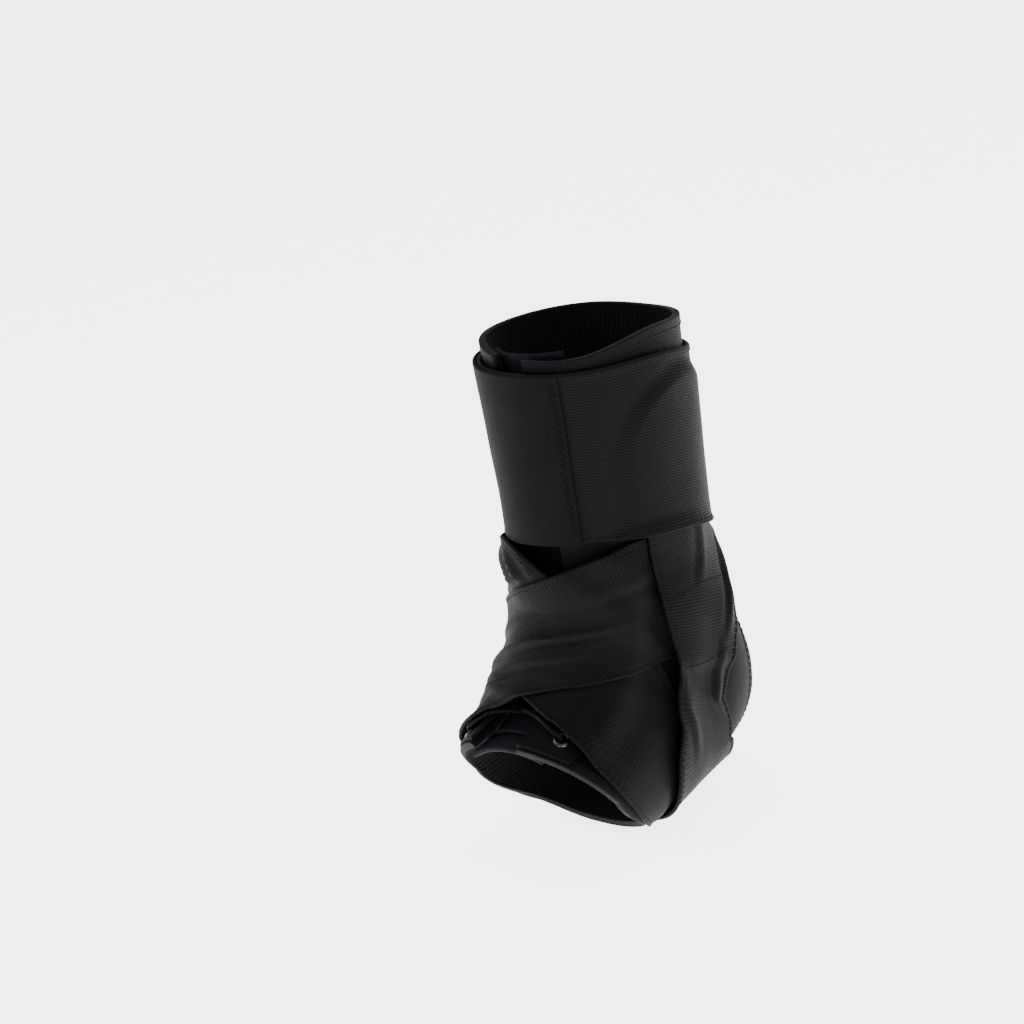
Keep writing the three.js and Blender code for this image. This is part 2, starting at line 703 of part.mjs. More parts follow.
function cuffGrid(from, to, count) {
  return (row) => spaced(from, to, count).map((angle) => {
    const top = CUFF_MIDDLE + rim('cuffTop', angle) * CUFF_HEIGHT;
    const bottom = CUFF_MIDDLE + rim('cuffBottom', angle) * CUFF_HEIGHT;
    return { station: stationAt(mix(top, bottom, row), angle), angle };
  });
}

function cuffBand() {
  const grid = cuffGrid(-180, 180, CUFF_SIDES);
  const ring = (row) => grid(row).slice(0, CUFF_SIDES);
  const high = (station, angle) => cuffLow(station, angle) + CUFF_WALL;
  return sheet(spaced(0, 1, CUFF_ROWS), ring, cuffLow, high, true);
}

function cuffTab() {
  const low = (station, angle) => cuffLow(station, angle) + CUFF_WALL + STRAP_PLAY;
  const high = (station, angle) => low(station, angle) + TAB_WALL;
  const grid = cuffGrid(TAB_FROM, TAB_TO, Math.ceil((TAB_TO - TAB_FROM) / TAB_FACET));
  return sheet(spaced(0, 1, CUFF_ROWS), grid, low, high);
}

// Materials
const material = (color, roughness, metalness = 0) => (
  new THREE.MeshStandardMaterial({ color, roughness, metalness })
);
const boot = material(0x1f2124, 0.85);
const lining = material(0x23252a, 0.9);
const webbing = material(0x1c1d1f, 0.7);
const elastic = material(0x202326, 0.8);
const patch = material(0x18191b, 0.75);
const cord = material(0x1a1a1c, 0.8);
const steel = material(0x2a2a2c, 0.35, 0.9);

const group = new THREE.Group();

function add(name, geometry, finish) {
  const mesh = new THREE.Mesh(geometry, finish);
  mesh.name = name;
  group.add(mesh);
}

const SIDES = [{ side: 1, name: 'outer' }, { side: -1, name: 'inner' }];
const holes = Object.values(eyelets).flat().map(eyeletHole);
add('boot_shell', cut(bootShell(), [heelCutter(), ...holes]), boot);
add('tongue', tongue(), lining);
for (const { side, name } of SIDES) {
  add(`facing_${name}`, cut(facing(side), eyelets[side].map(eyeletHole)), boot);
  eyelets[side].forEach((spot, k) => add(`eyelet_${name}_${k + 1}`, eyelet(spot), steel));
}
add('lace', lace(), cord);
add('strap_inner', strap(inner), webbing);
add('strap_outer', strap(outer, inner), webbing);
add('cuff_band', cuffBand(), elastic);
add('cuff_tab', cuffTab(), patch);

export default group;
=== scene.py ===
# %% [markdown]
# # A lace-up ankle brace, as it is worn
# The real thing is a padded cloth boot with an open toe and heel. It laces up in front over a tongue,
# two straps cross over the instep in a figure of eight, and a wide elastic cuff holds their ends.
# Every one of those layers follows the same ankle. So this lesson first writes that ankle down as one
# smooth surface, and then makes each cloth as a layer that lies a little over the last one. That keeps
# the layers tight and still clear of each other, from every side.

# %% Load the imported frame
import math

import bpy
import numpy as np
from mathutils import Matrix, Vector


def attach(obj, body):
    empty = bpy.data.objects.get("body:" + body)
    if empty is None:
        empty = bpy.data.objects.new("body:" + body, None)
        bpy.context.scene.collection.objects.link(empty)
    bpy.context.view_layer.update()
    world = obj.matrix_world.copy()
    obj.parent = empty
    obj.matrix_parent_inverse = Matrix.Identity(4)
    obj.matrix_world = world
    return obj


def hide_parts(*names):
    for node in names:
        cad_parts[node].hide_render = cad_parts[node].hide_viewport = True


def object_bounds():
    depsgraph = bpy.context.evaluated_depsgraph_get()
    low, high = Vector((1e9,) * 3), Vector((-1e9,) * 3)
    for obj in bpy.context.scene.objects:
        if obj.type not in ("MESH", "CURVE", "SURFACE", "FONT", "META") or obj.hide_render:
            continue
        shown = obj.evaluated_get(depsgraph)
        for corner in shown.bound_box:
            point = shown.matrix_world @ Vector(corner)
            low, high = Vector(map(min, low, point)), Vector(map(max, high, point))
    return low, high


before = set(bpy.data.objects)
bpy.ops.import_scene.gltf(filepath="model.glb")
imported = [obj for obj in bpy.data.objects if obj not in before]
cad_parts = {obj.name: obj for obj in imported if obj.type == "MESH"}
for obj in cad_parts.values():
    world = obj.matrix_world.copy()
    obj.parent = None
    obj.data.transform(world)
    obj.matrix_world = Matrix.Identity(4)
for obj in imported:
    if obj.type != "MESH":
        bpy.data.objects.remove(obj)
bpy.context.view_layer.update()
BODY = "root"
MM = 0.001


def add_object(name, data):
    """A new object in the scene, at the origin."""
    made = bpy.data.objects.new(name, data)
    bpy.context.scene.collection.objects.link(made)
    return made


# %% [markdown]
# ## The camera
# The camera comes first, because every later choice is judged through it. It looks down a little on
# the front and outer side of the ankle, through a long lens, and is rolled so that the leg leans back.
# Its three axes go straight into a matrix. That is plainer than stacking turns, and it can't drift.

# %% Camera
SENSOR = 36.0
FRAME_PIXELS = 1024
FOCUS_PIXELS = 2500
CAMERA_AZIMUTH, CAMERA_ELEVATION, CAMERA_ROLL = 49.26, 16.23, 10.66
CAMERA_DISTANCE = 1.0
CAMERA_TARGET = Vector((-0.02308, -0.03138, 0.0637))


def make_camera():
    azimuth, elevation, roll = map(math.radians, (CAMERA_AZIMUTH, CAMERA_ELEVATION, CAMERA_ROLL))
    level = Vector((math.cos(azimuth), math.sin(azimuth), 0))
    back = Vector((
        math.sin(azimuth) * math.cos(elevation),
        -math.cos(azimuth) * math.cos(elevation),
        math.sin(elevation),
    ))
    upright = back.cross(level)
    right = math.cos(roll) * level - math.sin(roll) * upright
    up = math.sin(roll) * level + math.cos(roll) * upright
    data = bpy.data.cameras.new("photo_camera")
    data.sensor_width = SENSOR
    data.lens = FOCUS_PIXELS * SENSOR / FRAME_PIXELS
    made = add_object("photo_camera", data)
    made.matrix_world = Matrix.Translation(CAMERA_TARGET + CAMERA_DISTANCE * back) @ (
        Matrix((right, up, back)).transposed().to_4x4()
    )
    bpy.context.scene.camera = made
    return made


camera = make_camera()
print("lens", round(camera.data.lens, 1), "mm")

# %% [markdown]
# ## The ankle under the brace
# A leg, a bend and a foot could be sculpted, but then each cloth would have to be shrink-wrapped on
# it. A formula is better: `skin(station, angle)` gives a point for a numbered section, counted from
# the calf down to the toes, and for an angle round it, 0 in front and 90 on the outer side. The table
# holds shares of four named sizes, so the ankle can be refitted by changing those. All of it works in
# millimetres on whole arrays of points at once.

# %% The skin
LEG_HEIGHT, ANKLE_WIDTH, ANKLE_DEPTH = 140, 64, 72
BEND_RADIUS, BEND_FORWARD, BEND_HEIGHT, FOOT_LENGTH = 34, 72, 37, 30
SECTION_COLUMNS = ("rise", "tilt", "reach", "front", "depth", "inner", "outer", "square")
SECTION_ROWS = [
    (1.00, 0, 0.0, 1.015, 1.083, 0.555, 0.539, 2.0),
    (0.75, 0, 0.0, 1.029, 1.035, 0.531, 0.523, 2.0),
    (0.50, 0, 0.0, 1.015, 1.007, 0.500, 0.500, 2.0),
    (None, 0, 0.0, 1.000, 1.000, 0.500, 0.500, 2.0),
    (None, 15, 0.0, 1.044, 1.118, 0.531, 0.547, 2.0),
    (None, 30, 0.0, 1.074, 1.396, 0.547, 0.563, 2.1),
    (None, 40, 0.0, 1.118, 1.333, 0.547, 0.563, 2.3),
    (None, 50, 0.0, 1.191, 1.118, 0.547, 0.563, 2.5),
    (None, 60, 0.0, 1.279, 0.951, 0.563, 0.578, 2.5),
    (None, 70, 0.0, 1.368, 0.840, 0.578, 0.594, 2.6),
    (None, 80, 0.0, 1.456, 0.771, 0.594, 0.609, 2.6),
    (None, 80, 0.5, 1.544, 0.722, 0.625, 0.641, 2.6),
    (None, 80, 1.0, 1.662, 0.660, 0.656, 0.672, 2.6),
]
LEG_ROWS = 3


def named_columns(names, rows):
    return {name: [row[k] for row in rows] for k, name in enumerate(names)}


def curve(values, row):
    """A smooth curve through a column, at row numbers that need not be whole."""
    values = np.asarray(values, float)
    row = np.asarray(row, float)
    i = np.clip(np.floor(row).astype(int), 0, len(values) - 2)
    t = row - i
    p0 = values[np.maximum(i - 1, 0)]
    p1 = values[i]
    p2 = values[i + 1]
    p3 = values[np.minimum(i + 2, len(values) - 1)]
    bend = (2 * p0 - 5 * p1 + 4 * p2 - p3) * t**2 + (3 * p1 - p0 - 3 * p2 + p3) * t**3
    return 0.5 * (2 * p1 + (p2 - p0) * t + bend)


def smooth(x):
    t = np.clip(x, 0, 1)
    return t * t * (3 - 2 * t)


SECTIONS = named_columns(SECTION_COLUMNS, SECTION_ROWS)
STATIONS = np.arange(len(SECTION_ROWS))
TILTS = np.radians(SECTIONS["tilt"])
REACHES = np.array(SECTIONS["reach"]) * FOOT_LENGTH
RISES = np.array([(rise or 0) * LEG_HEIGHT for rise in SECTIONS["rise"]])
RISES[:LEG_ROWS] -= BEND_HEIGHT
PLANE_Y = -BEND_FORWARD - REACHES * np.sin(TILTS)
PLANE_Z = BEND_HEIGHT + RISES - REACHES * np.cos(TILTS)


def skin(station, angle):
    """Points of the skin, in millimetres."""
    station, angle = np.broadcast_arrays(np.asarray(station, float), np.asarray(angle, float))
    tilt = np.interp(station, STATIONS, TILTS)
    half = curve(SECTIONS["depth"], station) * ANKLE_DEPTH / 2
    c, s = np.cos(np.radians(angle)), np.sin(np.radians(angle))
    side = np.where(s > 0, curve(SECTIONS["outer"], station), curve(SECTIONS["inner"], station))
    power = np.where(c < 0, 2 / curve(SECTIONS["square"], station), 1.0)
    radius = curve(SECTIONS["front"], station) * BEND_RADIUS + half
    radius = radius - half * np.sign(c) * np.abs(c) ** power
    x = side * ANKLE_WIDTH * np.sign(s) * np.abs(s) ** power
    y = np.interp(station, STATIONS, PLANE_Y) + radius * np.cos(tilt)
    z = np.interp(station, STATIONS, PLANE_Z) - radius * np.sin(tilt)
    return np.stack([x, y, z], -1)


print("skin in front at the ankle", np.round(skin(3, 0), 1), "and at the heel", np.round(skin(5, 180), 1))

# %% [markdown]
# ## Moving over the skin
# Cloth is laid out in lengths, but the skin is given in stations and angles. Two small nudges tell how
# far a point moves per station and per degree. From those come the direction in which the skin faces,
# points that stand off it by a height, and a walk of a given length, which settles each step by solving
# for it a few times, so that it stays even where the skin bends sharply.

# %% Directions and walks
NUDGE_STATION, NUDGE_ANGLE = 0.01, 0.5
SETTLE = 3


def unit(vectors):
    return vectors / np.maximum(np.linalg.norm(vectors, axis=-1, keepdims=True), 1e-12)


def travelled(places):
    """Distance travelled from row to row, of a line of places or of each column of a grid of them."""
    steps = np.linalg.norm(np.diff(places, axis=0), axis=-1)
    return np.concatenate([np.zeros_like(steps[:1]), np.cumsum(steps, 0)], 0)


def slopes(station, angle):
    """How the skin's point moves per station and per degree."""
    down = skin(station + NUDGE_STATION, angle) - skin(station - NUDGE_STATION, angle)
    around = skin(station, angle + NUDGE_ANGLE) - skin(station, angle - NUDGE_ANGLE)
    return down / (2 * NUDGE_STATION), around / (2 * NUDGE_ANGLE)


def outward(station, angle):
    down, around = slopes(station, angle)
    return unit(np.cross(down, around))


def lifted(station, angle, height):
    """Points that stand a height off the skin."""
    return skin(station, angle) + outward(station, angle) * np.asarray(height, float)[..., None]


def solve(down, around, vector):
    """How far to move in station and angle to follow a vector as well as the skin allows."""
    dd, rr, dr = (down**2).sum(-1), (around**2).sum(-1), (down * around).sum(-1)
    vd, vr = (vector * down).sum(-1), (vector * around).sum(-1)
    det = dd * rr - dr * dr
    return (vd * rr - vr * dr) / det, (vr * dd - vd * dr) / det


def walk(station, angle, direction, length, steps):
    """Walks over the skin. Gives the stations and angles passed, the start included, steps + 1 of each."""
    station, angle, length = np.broadcast_arrays(station, angle, np.asarray(length, float))
    stations, angles = [station.astype(float)], [angle.astype(float)]
    for _ in range(steps):
        station, angle = stations[-1], angles[-1]
        down, around = slopes(station, angle)
        ahead, aside = solve(down, around, direction)
        level = unit(ahead[..., None] * down + aside[..., None] * around)
        target = skin(station, angle) + level * (length / steps)[..., None]
        for _ in range(SETTLE):
            ahead, aside = solve(*slopes(station, angle), target - skin(station, angle))
            station, angle = station + ahead, angle + aside
        stations.append(station)
        angles.append(angle)
    return np.stack(stations, -1), np.stack(angles, -1)


print("at the ankle a station is", round(float(np.linalg.norm(slopes(3, 0)[0])), 1), "mm long in front")

# %% [markdown]
# ## Where the layers lie
# A sewing pattern has a table of sizes, and so does this brace. The distances below say how far each
# layer's two faces stand off the skin. The rims of the boot and the edges of the cuff wander up and
# down as they go round, so they get a small table of their own, with a row every 45 degrees.

# %% Layers, rims and the lacing line
FIT_GAP, STRAP_PLAY, CUFF_PLAY = 0.4, 0.5, 0.9
SHELL_WALL, TONGUE_WALL, FACING_WALL, STRAP_WALL, CUFF_WALL, TAB_WALL = 2.4, 2.4, 1.2, 1.5, 1.8, 1.4
SHELL_LOW = FIT_GAP
SHELL_HIGH = SHELL_LOW + SHELL_WALL
FACING_LOW = SHELL_HIGH + FIT_GAP
FACING_HIGH = FACING_LOW + FACING_WALL
EYELET_OUTER, EYELET_BORE, EYELET_RIM, EYELET_TUBE = 7.0, 4.2, 0.9, 0.6
EYELET_LOW = FACING_HIGH + 0.1
EYELET_HIGH = EYELET_LOW + EYELET_RIM
LACE_DIAMETER = 1.8
LACE_RADIUS = LACE_DIAMETER / 2
LACE_OVER = EYELET_HIGH + FIT_GAP + LACE_RADIUS
LACE_OVER_FACING = FACING_HIGH + FIT_GAP + LACE_RADIUS
LACE_UNDER = SHELL_LOW - FIT_GAP - LACE_RADIUS
TONGUE_HIGH = LACE_UNDER - LACE_RADIUS - FIT_GAP
TONGUE_LOW = TONGUE_HIGH - TONGUE_WALL
STRAP_BASE = SHELL_HIGH + STRAP_PLAY
STRAP_PITCH = STRAP_WALL + STRAP_PLAY
CUFF_BASE = SHELL_HIGH + CUFF_PLAY
CUFF_PITCH = STRAP_WALL + CUFF_PLAY
LACING_RAISE = LACE_OVER + LACE_RADIUS - SHELL_HIGH

RIMS = named_columns(("angle", "top", "toe", "cuff_top", "cuff_bottom"), [
    (-180, 0.29, 9.00, 0.42, -0.58),
    (-135, 0.20, 9.15, 0.47, -0.55),
    (-90, 0.16, 10.15, 0.53, -0.50),
    (-45, 0.16, 10.80, 0.55, -0.46),
    (0, 0.27, 11.00, 0.53, -0.44),
    (45, 0.34, 10.75, 0.50, -0.45),
    (90, 0.22, 10.15, 0.49, -0.49),
    (135, 0.28, 9.15, 0.42, -0.58),
])
RIM_TURN = 45
TOE_MIDDLE = 11.0


def rim(name, angle):
    """A value from RIMS, which goes all the way round."""
    ring = RIMS[name]
    place = np.mod(np.asarray(angle, float) + 180, 360) / RIM_TURN
    return curve(ring[-1:] + ring + ring[:2], place + 1)


LACING_GAP, TONGUE_WIDTH, FACING_WIDTH = 26, 46, 23
LACING = named_columns(("station", "middle", "gap"), [
    (0, 0, 0.50),
    (3, 0, 0.70),
    (6, -4, 0.85),
    (9, -7, 0.95),
    (12, -9, 1.05),
])
LACING_TOP, LACING_RAISED, LACING_TOE = 3.0, 3.6, 11.25
EYELET_COUNT, EYELET_INSET, EYELET_SPACING, FIRST_EYELET = 4, 14, 19, 10.25


def lacing_middle(station):
    return np.interp(station, LACING["station"], LACING["middle"])


def lacing_half(station):
    return np.interp(station, LACING["station"], LACING["gap"]) * LACING_GAP / 2


BESIDE_STEPS = 12


def beside(station, side, length):
    """The angle that lies a length beside the lacing's middle, on one side of it."""
    station, length = np.broadcast_arrays(np.asarray(station, float), np.asarray(length, float))
    angle = lacing_middle(station)
    for _ in range(BESIDE_STEPS):
        around = np.linalg.norm(slopes(station, angle)[1], axis=-1)
        angle = angle + side * length / BESIDE_STEPS / around
    return angle


def gap_edge(station, side):
    return beside(station, side, lacing_half(station))


print("outer rim of the toe at", float(rim("toe", 90)), "and its gap's edge at", float(gap_edge(9, 1)))

# %% [markdown]
# ## From grids to closed cloth
# Cloth with a real thickness needs an upper face, a lower face and edges that turn round between
# them. Solidify could add the lower face, but it can't follow what lies underneath. Here each layer is
# a grid with two heights at every point. One closed ring of points goes over the top and back below
# for each row of the grid, so that rows of rings make the whole piece, and the edges come out round.
# The same rings carry a UV map in millimetres along and across the cloth, and the weaves read it.

# %% Helpers for closed pieces
EDGE_STEPS = np.array([0.0, 0.12, 0.36, 0.7])
EDGE_START = 0.12


def graded(length, step):
    """Places from 0 to a length, evenly apart, with closer ones where an edge turns over."""
    inside = np.arange(1, max(2, round(length / step))) * length / max(2, round(length / step))
    inside = inside[(inside > EDGE_STEPS[-1] + step / 3) & (inside < length - EDGE_STEPS[-1] - step / 3)]
    return np.concatenate([EDGE_STEPS, inside, length - EDGE_STEPS[::-1]])


def roundness(distance, wall):
    """Share of the wall's half thickness that is left this far from an edge."""
    turn = np.clip(1 - np.asarray(distance, float) / (wall / 2), 0, 1)
    return EDGE_START + (1 - EDGE_START) * np.sqrt(np.clip(1 - turn**2, 0, 1))


def new_piece(name, points, faces, uv=None):
    """A smooth mesh object from points in millimetres."""
    mesh = bpy.data.meshes.new(name)
    mesh.from_pydata((np.asarray(points) * MM).tolist(), [], faces)
    if uv is not None:
        layer = mesh.uv_layers.new(name="cloth")
        corners = np.zeros(len(mesh.loops), int)
        mesh.loops.foreach_get("vertex_index", corners)
        layer.data.foreach_set("uv", np.asarray(uv, np.float32)[corners].ravel())
    mesh.polygons.foreach_set("use_smooth", [True] * len(mesh.polygons))
    mesh.update()
    return add_object(name, mesh)


def ladder(ring):
    """Quads from side to side that close a ring with an even number of points."""
    across = np.stack([ring, ring[::-1]], -1)[: len(ring) // 2]
    return np.concatenate([across[:-1], across[1:, ::-1]], 1).tolist()


def rings_to_piece(name, rings, uv, around=False):
    """Joins rings of points, (rows, points, 3), into one closed piece, or with around into a closed hoop."""
    rows, count, _ = rings.shape
    points = rings.reshape(-1, 3)
    index = np.arange(rows * count).reshape(rows, count)
    upper = index if around else index[:-1]
    lower = np.roll(index, -1, 0) if around else index[1:]
    quads = np.stack([upper, lower, np.roll(lower, -1, 1), np.roll(upper, -1, 1)], -1).reshape(-1, 4)
    a, b, c, d = (points[quads[:, k]] for k in range(4))
    volume = (np.einsum("ij,ij->i", a, np.cross(b, c)) + np.einsum("ij,ij->i", a, np.cross(c, d))).sum()
    faces = quads.tolist()
    if not around:
        faces += ladder(index[0]) + [face[::-1] for face in ladder(index[-1])]
    if volume < 0:
        faces = [face[::-1] for face in faces]
    return new_piece(name, points, faces, uv.reshape(-1, 2))


def slab(name, station, angle, low, high, along, across, around=False):
    """One closed layer. All arrays are (rows, points over the top)."""
    top = lifted(station, angle, high)
    below = lifted(station, angle, low)[:, ::-1]
    uv_top = np.stack(np.broadcast_arrays(along, across), -1)
    uv = np.concatenate([uv_top, uv_top[:, ::-1]], 1)
    return rings_to_piece(name, np.concatenate([top, below], 1), uv, around)


print("graded places over 10 mm:", np.round(graded(10, 2), 2))

# %% [markdown]
# ## Walls, hems and ripples
# A wall is two heights that come together in a round edge. On its upper face it takes a relief: a hem
# has a low ridge and a sewn groove beside its edge, and worn cloth is never quite even, so a sum of a
# few long waves with a fixed seed moves it softly up and down.

# %% Relief helpers
def walls(low, wall, edge_distance, relief=0.0):
    """The two faces of a wall whose edges are rounded, with relief on its upper face."""
    half = wall / 2 * roundness(edge_distance, wall)
    middle = low + wall / 2
    return middle - half, middle + half + relief * np.clip(np.asarray(edge_distance) / (wall / 2), 0, 1)


WAVES = 7


def ripple(places, wavelength, seed):
    """A soft random swell between about -1 and 1, the same on every run."""
    random = np.random.default_rng(seed)
    total = 0
    for _ in range(WAVES):
        direction = unit(random.normal(size=3))
        length = wavelength * random.uniform(0.7, 1.5)
        total = total + np.sin(places @ direction * 2 * np.pi / length + random.uniform(0, 2 * np.pi))
    return total / np.sqrt(WAVES)


HEM_WIDTH = 1.9


def hem(distance, ridge=0.22, groove=0.28):
    """Relief of a turned edge: a low ridge at the edge and a sewn groove inside it."""
    rise = ridge * (1 - smooth((distance - HEM_WIDTH * 0.7) / (HEM_WIDTH * 0.3)))
    return rise - groove * np.exp(-(((distance - HEM_WIDTH) / 0.35) ** 2))


print("a hem stands", round(float(hem(0.0)), 2), "mm high at the edge of the cloth")

# %% [markdown]
# ## The two straps' routes
# Each strap is sewn to the rear of one side, crosses the instep, passes under the sole and comes up on
# its own side to the cuff. The table gives the middle line of the strap that starts on the outer side,
# and the other one is its mirror image. From the middle line a walk over the skin, straight across the
# strap, finds where every point of its width lies, so the cloth never stretches in the bends.

# %% Strap routes
STRAP_WIDTH, STRAP_LIFT = 50, 4.5
WRAP = named_columns(("station", "angle", "width", "lift"), [
    (3.90, 126, 0.90, 0),
    (3.65, 95, 1.00, 0),
    (3.60, 65, 1.00, 0),
    (4.15, 36, 1.00, 0),
    (5.35, 4, 1.00, 0),
    (6.95, -30, 1.00, 0),
    (8.05, -60, 1.00, 0),
    (8.10, -85, 1.00, 0),
    (7.70, -112, 1.00, 0),
    (7.50, -145, 0.94, 0),
    (7.45, -180, 0.90, 0),
    (7.40, -215, 0.88, 0),
    (7.20, -246, 0.80, 0.4),
    (6.40, -267, 0.66, 0.9),
    (5.60, -275, 0.57, 1),
    (4.80, -275, 0.64, 0.8),
    (3.80, -262, 0.86, 0.4),
    (2.80, -250, 1.00, 0),
    (1.60, -250, 1.00, 0),
])
WRAP_ROWS = len(WRAP["station"]) - 1
FIRST_RUN_END, LAST_RUN_START = 2, 14
FINE_STEPS, ROUTE_STEP, ROUTE_NUDGE, WALK_STEPS = 40, 1.6, 0.3, 18
OUTER, INNER = 1, -1
BUNCHED = {OUTER: 0.0, INNER: 9.0}
BUNCHED_FROM, BUNCHED_FULL, BUNCHED_TO = 1.9, 3.1, 4.5


class Route:
    """A strap's middle line in even steps, with the skin walked out to both of its edges."""

    def __init__(self, side):
        self.side = side
        fine = np.linspace(0, WRAP_ROWS, WRAP_ROWS * FINE_STEPS)
        lengths = travelled(skin(*self.middle(fine)))
        self.length = lengths[-1]
        self.along = graded(self.length, ROUTE_STEP)
        self.t = np.interp(self.along, lengths, fine)
        station, angle = self.middle(self.t)
        ahead = skin(*self.middle(np.minimum(self.t + ROUTE_NUDGE, WRAP_ROWS)))
        behind = skin(*self.middle(np.maximum(self.t - ROUTE_NUDGE, 0)))
        across = unit(np.cross(outward(station, angle), unit(ahead - behind))) * side
        self.half = curve(WRAP["width"], self.t) * STRAP_WIDTH / 2
        rise = smooth((self.t - BUNCHED_FROM) / (BUNCHED_FULL - BUNCHED_FROM))
        rise = rise * smooth((BUNCHED_TO - self.t) / (BUNCHED_TO - BUNCHED_FULL))
        self.cover = self.half + BUNCHED[side] * rise
        upper = walk(station, angle, across, -self.cover, WALK_STEPS)
        lower = walk(station, angle, across, self.half, WALK_STEPS)
        self.stations = np.concatenate([upper[0][:, :0:-1], lower[0]], 1)
        self.angles = np.concatenate([upper[1][:, :0:-1], lower[1]], 1)
        self.places = skin(station, angle)

    def middle(self, t):
        return curve(WRAP["station"], t), self.side * curve(WRAP["angle"], t)

    def spread(self, share):
        """Stations and angles at shares of the width, from -1 to 1, (rows, points)."""
        at = (np.asarray(share) + 1) * WALK_STEPS
        k = np.clip(np.floor(at).astype(int), 0, 2 * WALK_STEPS - 1)
        part = at - k
        rows = np.arange(len(self.t))[:, None]
        return tuple(g[rows, k] * (1 - part) + g[rows, k + 1] * part for g in (self.stations, self.angles))


routes = {side: Route(side) for side in (OUTER, INNER)}
print("strap length", round(routes[OUTER].length), "mm")

# %% [markdown]
# ## What lies under what
# Where a strap crosses the lacing or another strap, it has to climb over it, and real webbing does so
# in a soft ramp beside the edge below. Each thing that is climbed over is a band: a row of places with
# a half width. `coverage` is 1 over a band and just beside it, and falls to 0 a few millimetres off.

# %% Coverage
EDGE_MARGIN, EDGE_FALL = 1.0, 7.0
CHUNK = 4000


def coverage(places, band, margin=EDGE_MARGIN, fall=EDGE_FALL):
    middle, half = band
    flat = places.reshape(-1, 3)
    nearest = np.full(len(flat), np.inf)
    for start in range(0, len(flat), CHUNK):
        part = flat[start:start + CHUNK]
        apart = np.linalg.norm(part[:, None] - middle[None], axis=-1) - half
        nearest[start:start + CHUNK] = apart.min(1)
    return 1 - smooth((nearest.reshape(places.shape[:-1]) - margin) / fall)


def strap_band(side, first=0, last=WRAP_ROWS):
    route = routes[side]
    kept = (route.t >= first) & (route.t <= last)
    return route.places[kept][::2], route.cover[kept][::2]


def turns(places, side):
    """How many thicknesses of a strap lie at a place."""
    first = coverage(places, strap_band(side, last=FIRST_RUN_END))
    last = coverage(places, strap_band(side, first=LAST_RUN_START))
    return coverage(places, strap_band(side)) + np.minimum(first, last)


LACING_SPOTS = np.linspace(LACING_RAISED, LACING_TOE, 60)
lacing_band = (
    skin(LACING_SPOTS, lacing_middle(LACING_SPOTS)),
    lacing_half(LACING_SPOTS) + EYELET_INSET + EYELET_OUTER / 2,
)


def boot_top(places):
    """How far a strap stands off the skin over the boot and its lacing."""
    return STRAP_BASE + LACING_RAISE * coverage(places, lacing_band, margin=3, fall=10)


print("the lacing raises a strap by", round(LACING_RAISE, 1), "mm")

# %% [markdown]
# ## Folds
# Webbing that is pulled round an ankle folds where its two edges have different ways to go. A cloth
# simulation erases a thin strap, so the folds that the real one shows are laid on one by one: each is a
# ridge with a crease beside it and a low mound under both, from one place on the strap to another. It
# fades at both ends. Rows are counted down the strap's own table, and shares go from -1 to 1 across it.

# %% Fold shapes
FOLD_COLUMNS = ("from_row", "from_share", "to_row", "to_share", "height", "breadth")
OUTER_FOLDS = [
    (2.8, 0.12, 5.9, -0.10, 1.6, 1.6),
    (3.6, 0.42, 5.8, 0.22, 0.9, 2.0),
    (4.4, -0.46, 6.2, -0.66, 1.0, 2.2),
    (4.9, 0.52, 6.3, 0.36, 1.0, 2.0),
    (5.2, -0.10, 6.6, -0.28, 1.2, 2.2),
    (1.2, -0.30, 3.2, -0.55, 0.5, 3.0),
    (13.2, -0.70, 15.2, -0.45, 1.0, 2.0),
    (15.3, -0.60, 17.0, -0.75, 1.3, 2.1),
    (12.2, 0.30, 13.6, 0.75, 0.8, 2.4),
    (16.2, 0.20, 17.4, -0.10, 0.6, 2.6),
    (8.3, 0.20, 10.2, -0.15, 0.5, 3.0),
]
INNER_FOLDS = [
    (2.6, -0.95, 4.2, -0.35, 1.8, 1.7),
    (2.2, -0.90, 3.4, -0.30, 1.5, 1.6),
    (3.2, -0.95, 4.6, -0.60, 1.4, 1.5),
    (1.9, -0.40, 3.6, 0.15, 0.9, 2.2),
    (5.8, 0.55, 8.4, 0.35, 0.5, 3.4),
    (9.5, -0.20, 11.4, 0.20, 0.6, 3.0),
    (13.0, -0.65, 15.4, -0.40, 0.9, 2.2),
    (15.6, 0.10, 17.2, 0.35, 0.7, 2.4),
]
FOLD_FADE, FADED_AT_END, FOLD_PAST_END = 0.6, 0.3, 0.25
CREASE_DEPTH, CREASE_PLACE, CREASE_WIDTH = 0.8, 1.5, 0.7
MOUND_HEIGHT, MOUND_PLACE, MOUND_WIDTH = 0.6, 0.8, 3.0


def bell(off, place=0.0, width=1.0):
    return np.exp(-(((off - place) / width) ** 2))


def fold_relief(route, share, folds):
    """Height of the folds at shares of the width, (rows, points)."""
    height = np.zeros(share.shape)
    for row in folds:
        fold = dict(zip(FOLD_COLUMNS, row))
        along = (route.t[:, None] - fold["from_row"]) / (fold["to_row"] - fold["from_row"])
        middle = fold["from_share"] + (fold["to_share"] - fold["from_share"]) * np.clip(along, 0, 1)
        off = (share - middle) * route.half[:, None] / fold["breadth"]
        fade = 1
        for left in (along, 1 - along):
            fade = fade * smooth(left / FOLD_FADE + FADED_AT_END)
            fade = fade * smooth((left + FOLD_PAST_END) / FOLD_PAST_END)
        crease = CREASE_DEPTH * bell(off, CREASE_PLACE, CREASE_WIDTH)
        mound = MOUND_HEIGHT * bell(off, MOUND_PLACE, MOUND_WIDTH)
        height += fold["height"] * fade * (bell(off) - crease + mound)
    return height


print(len(OUTER_FOLDS), "folds on the outer strap and", len(INNER_FOLDS), "on the inner one")

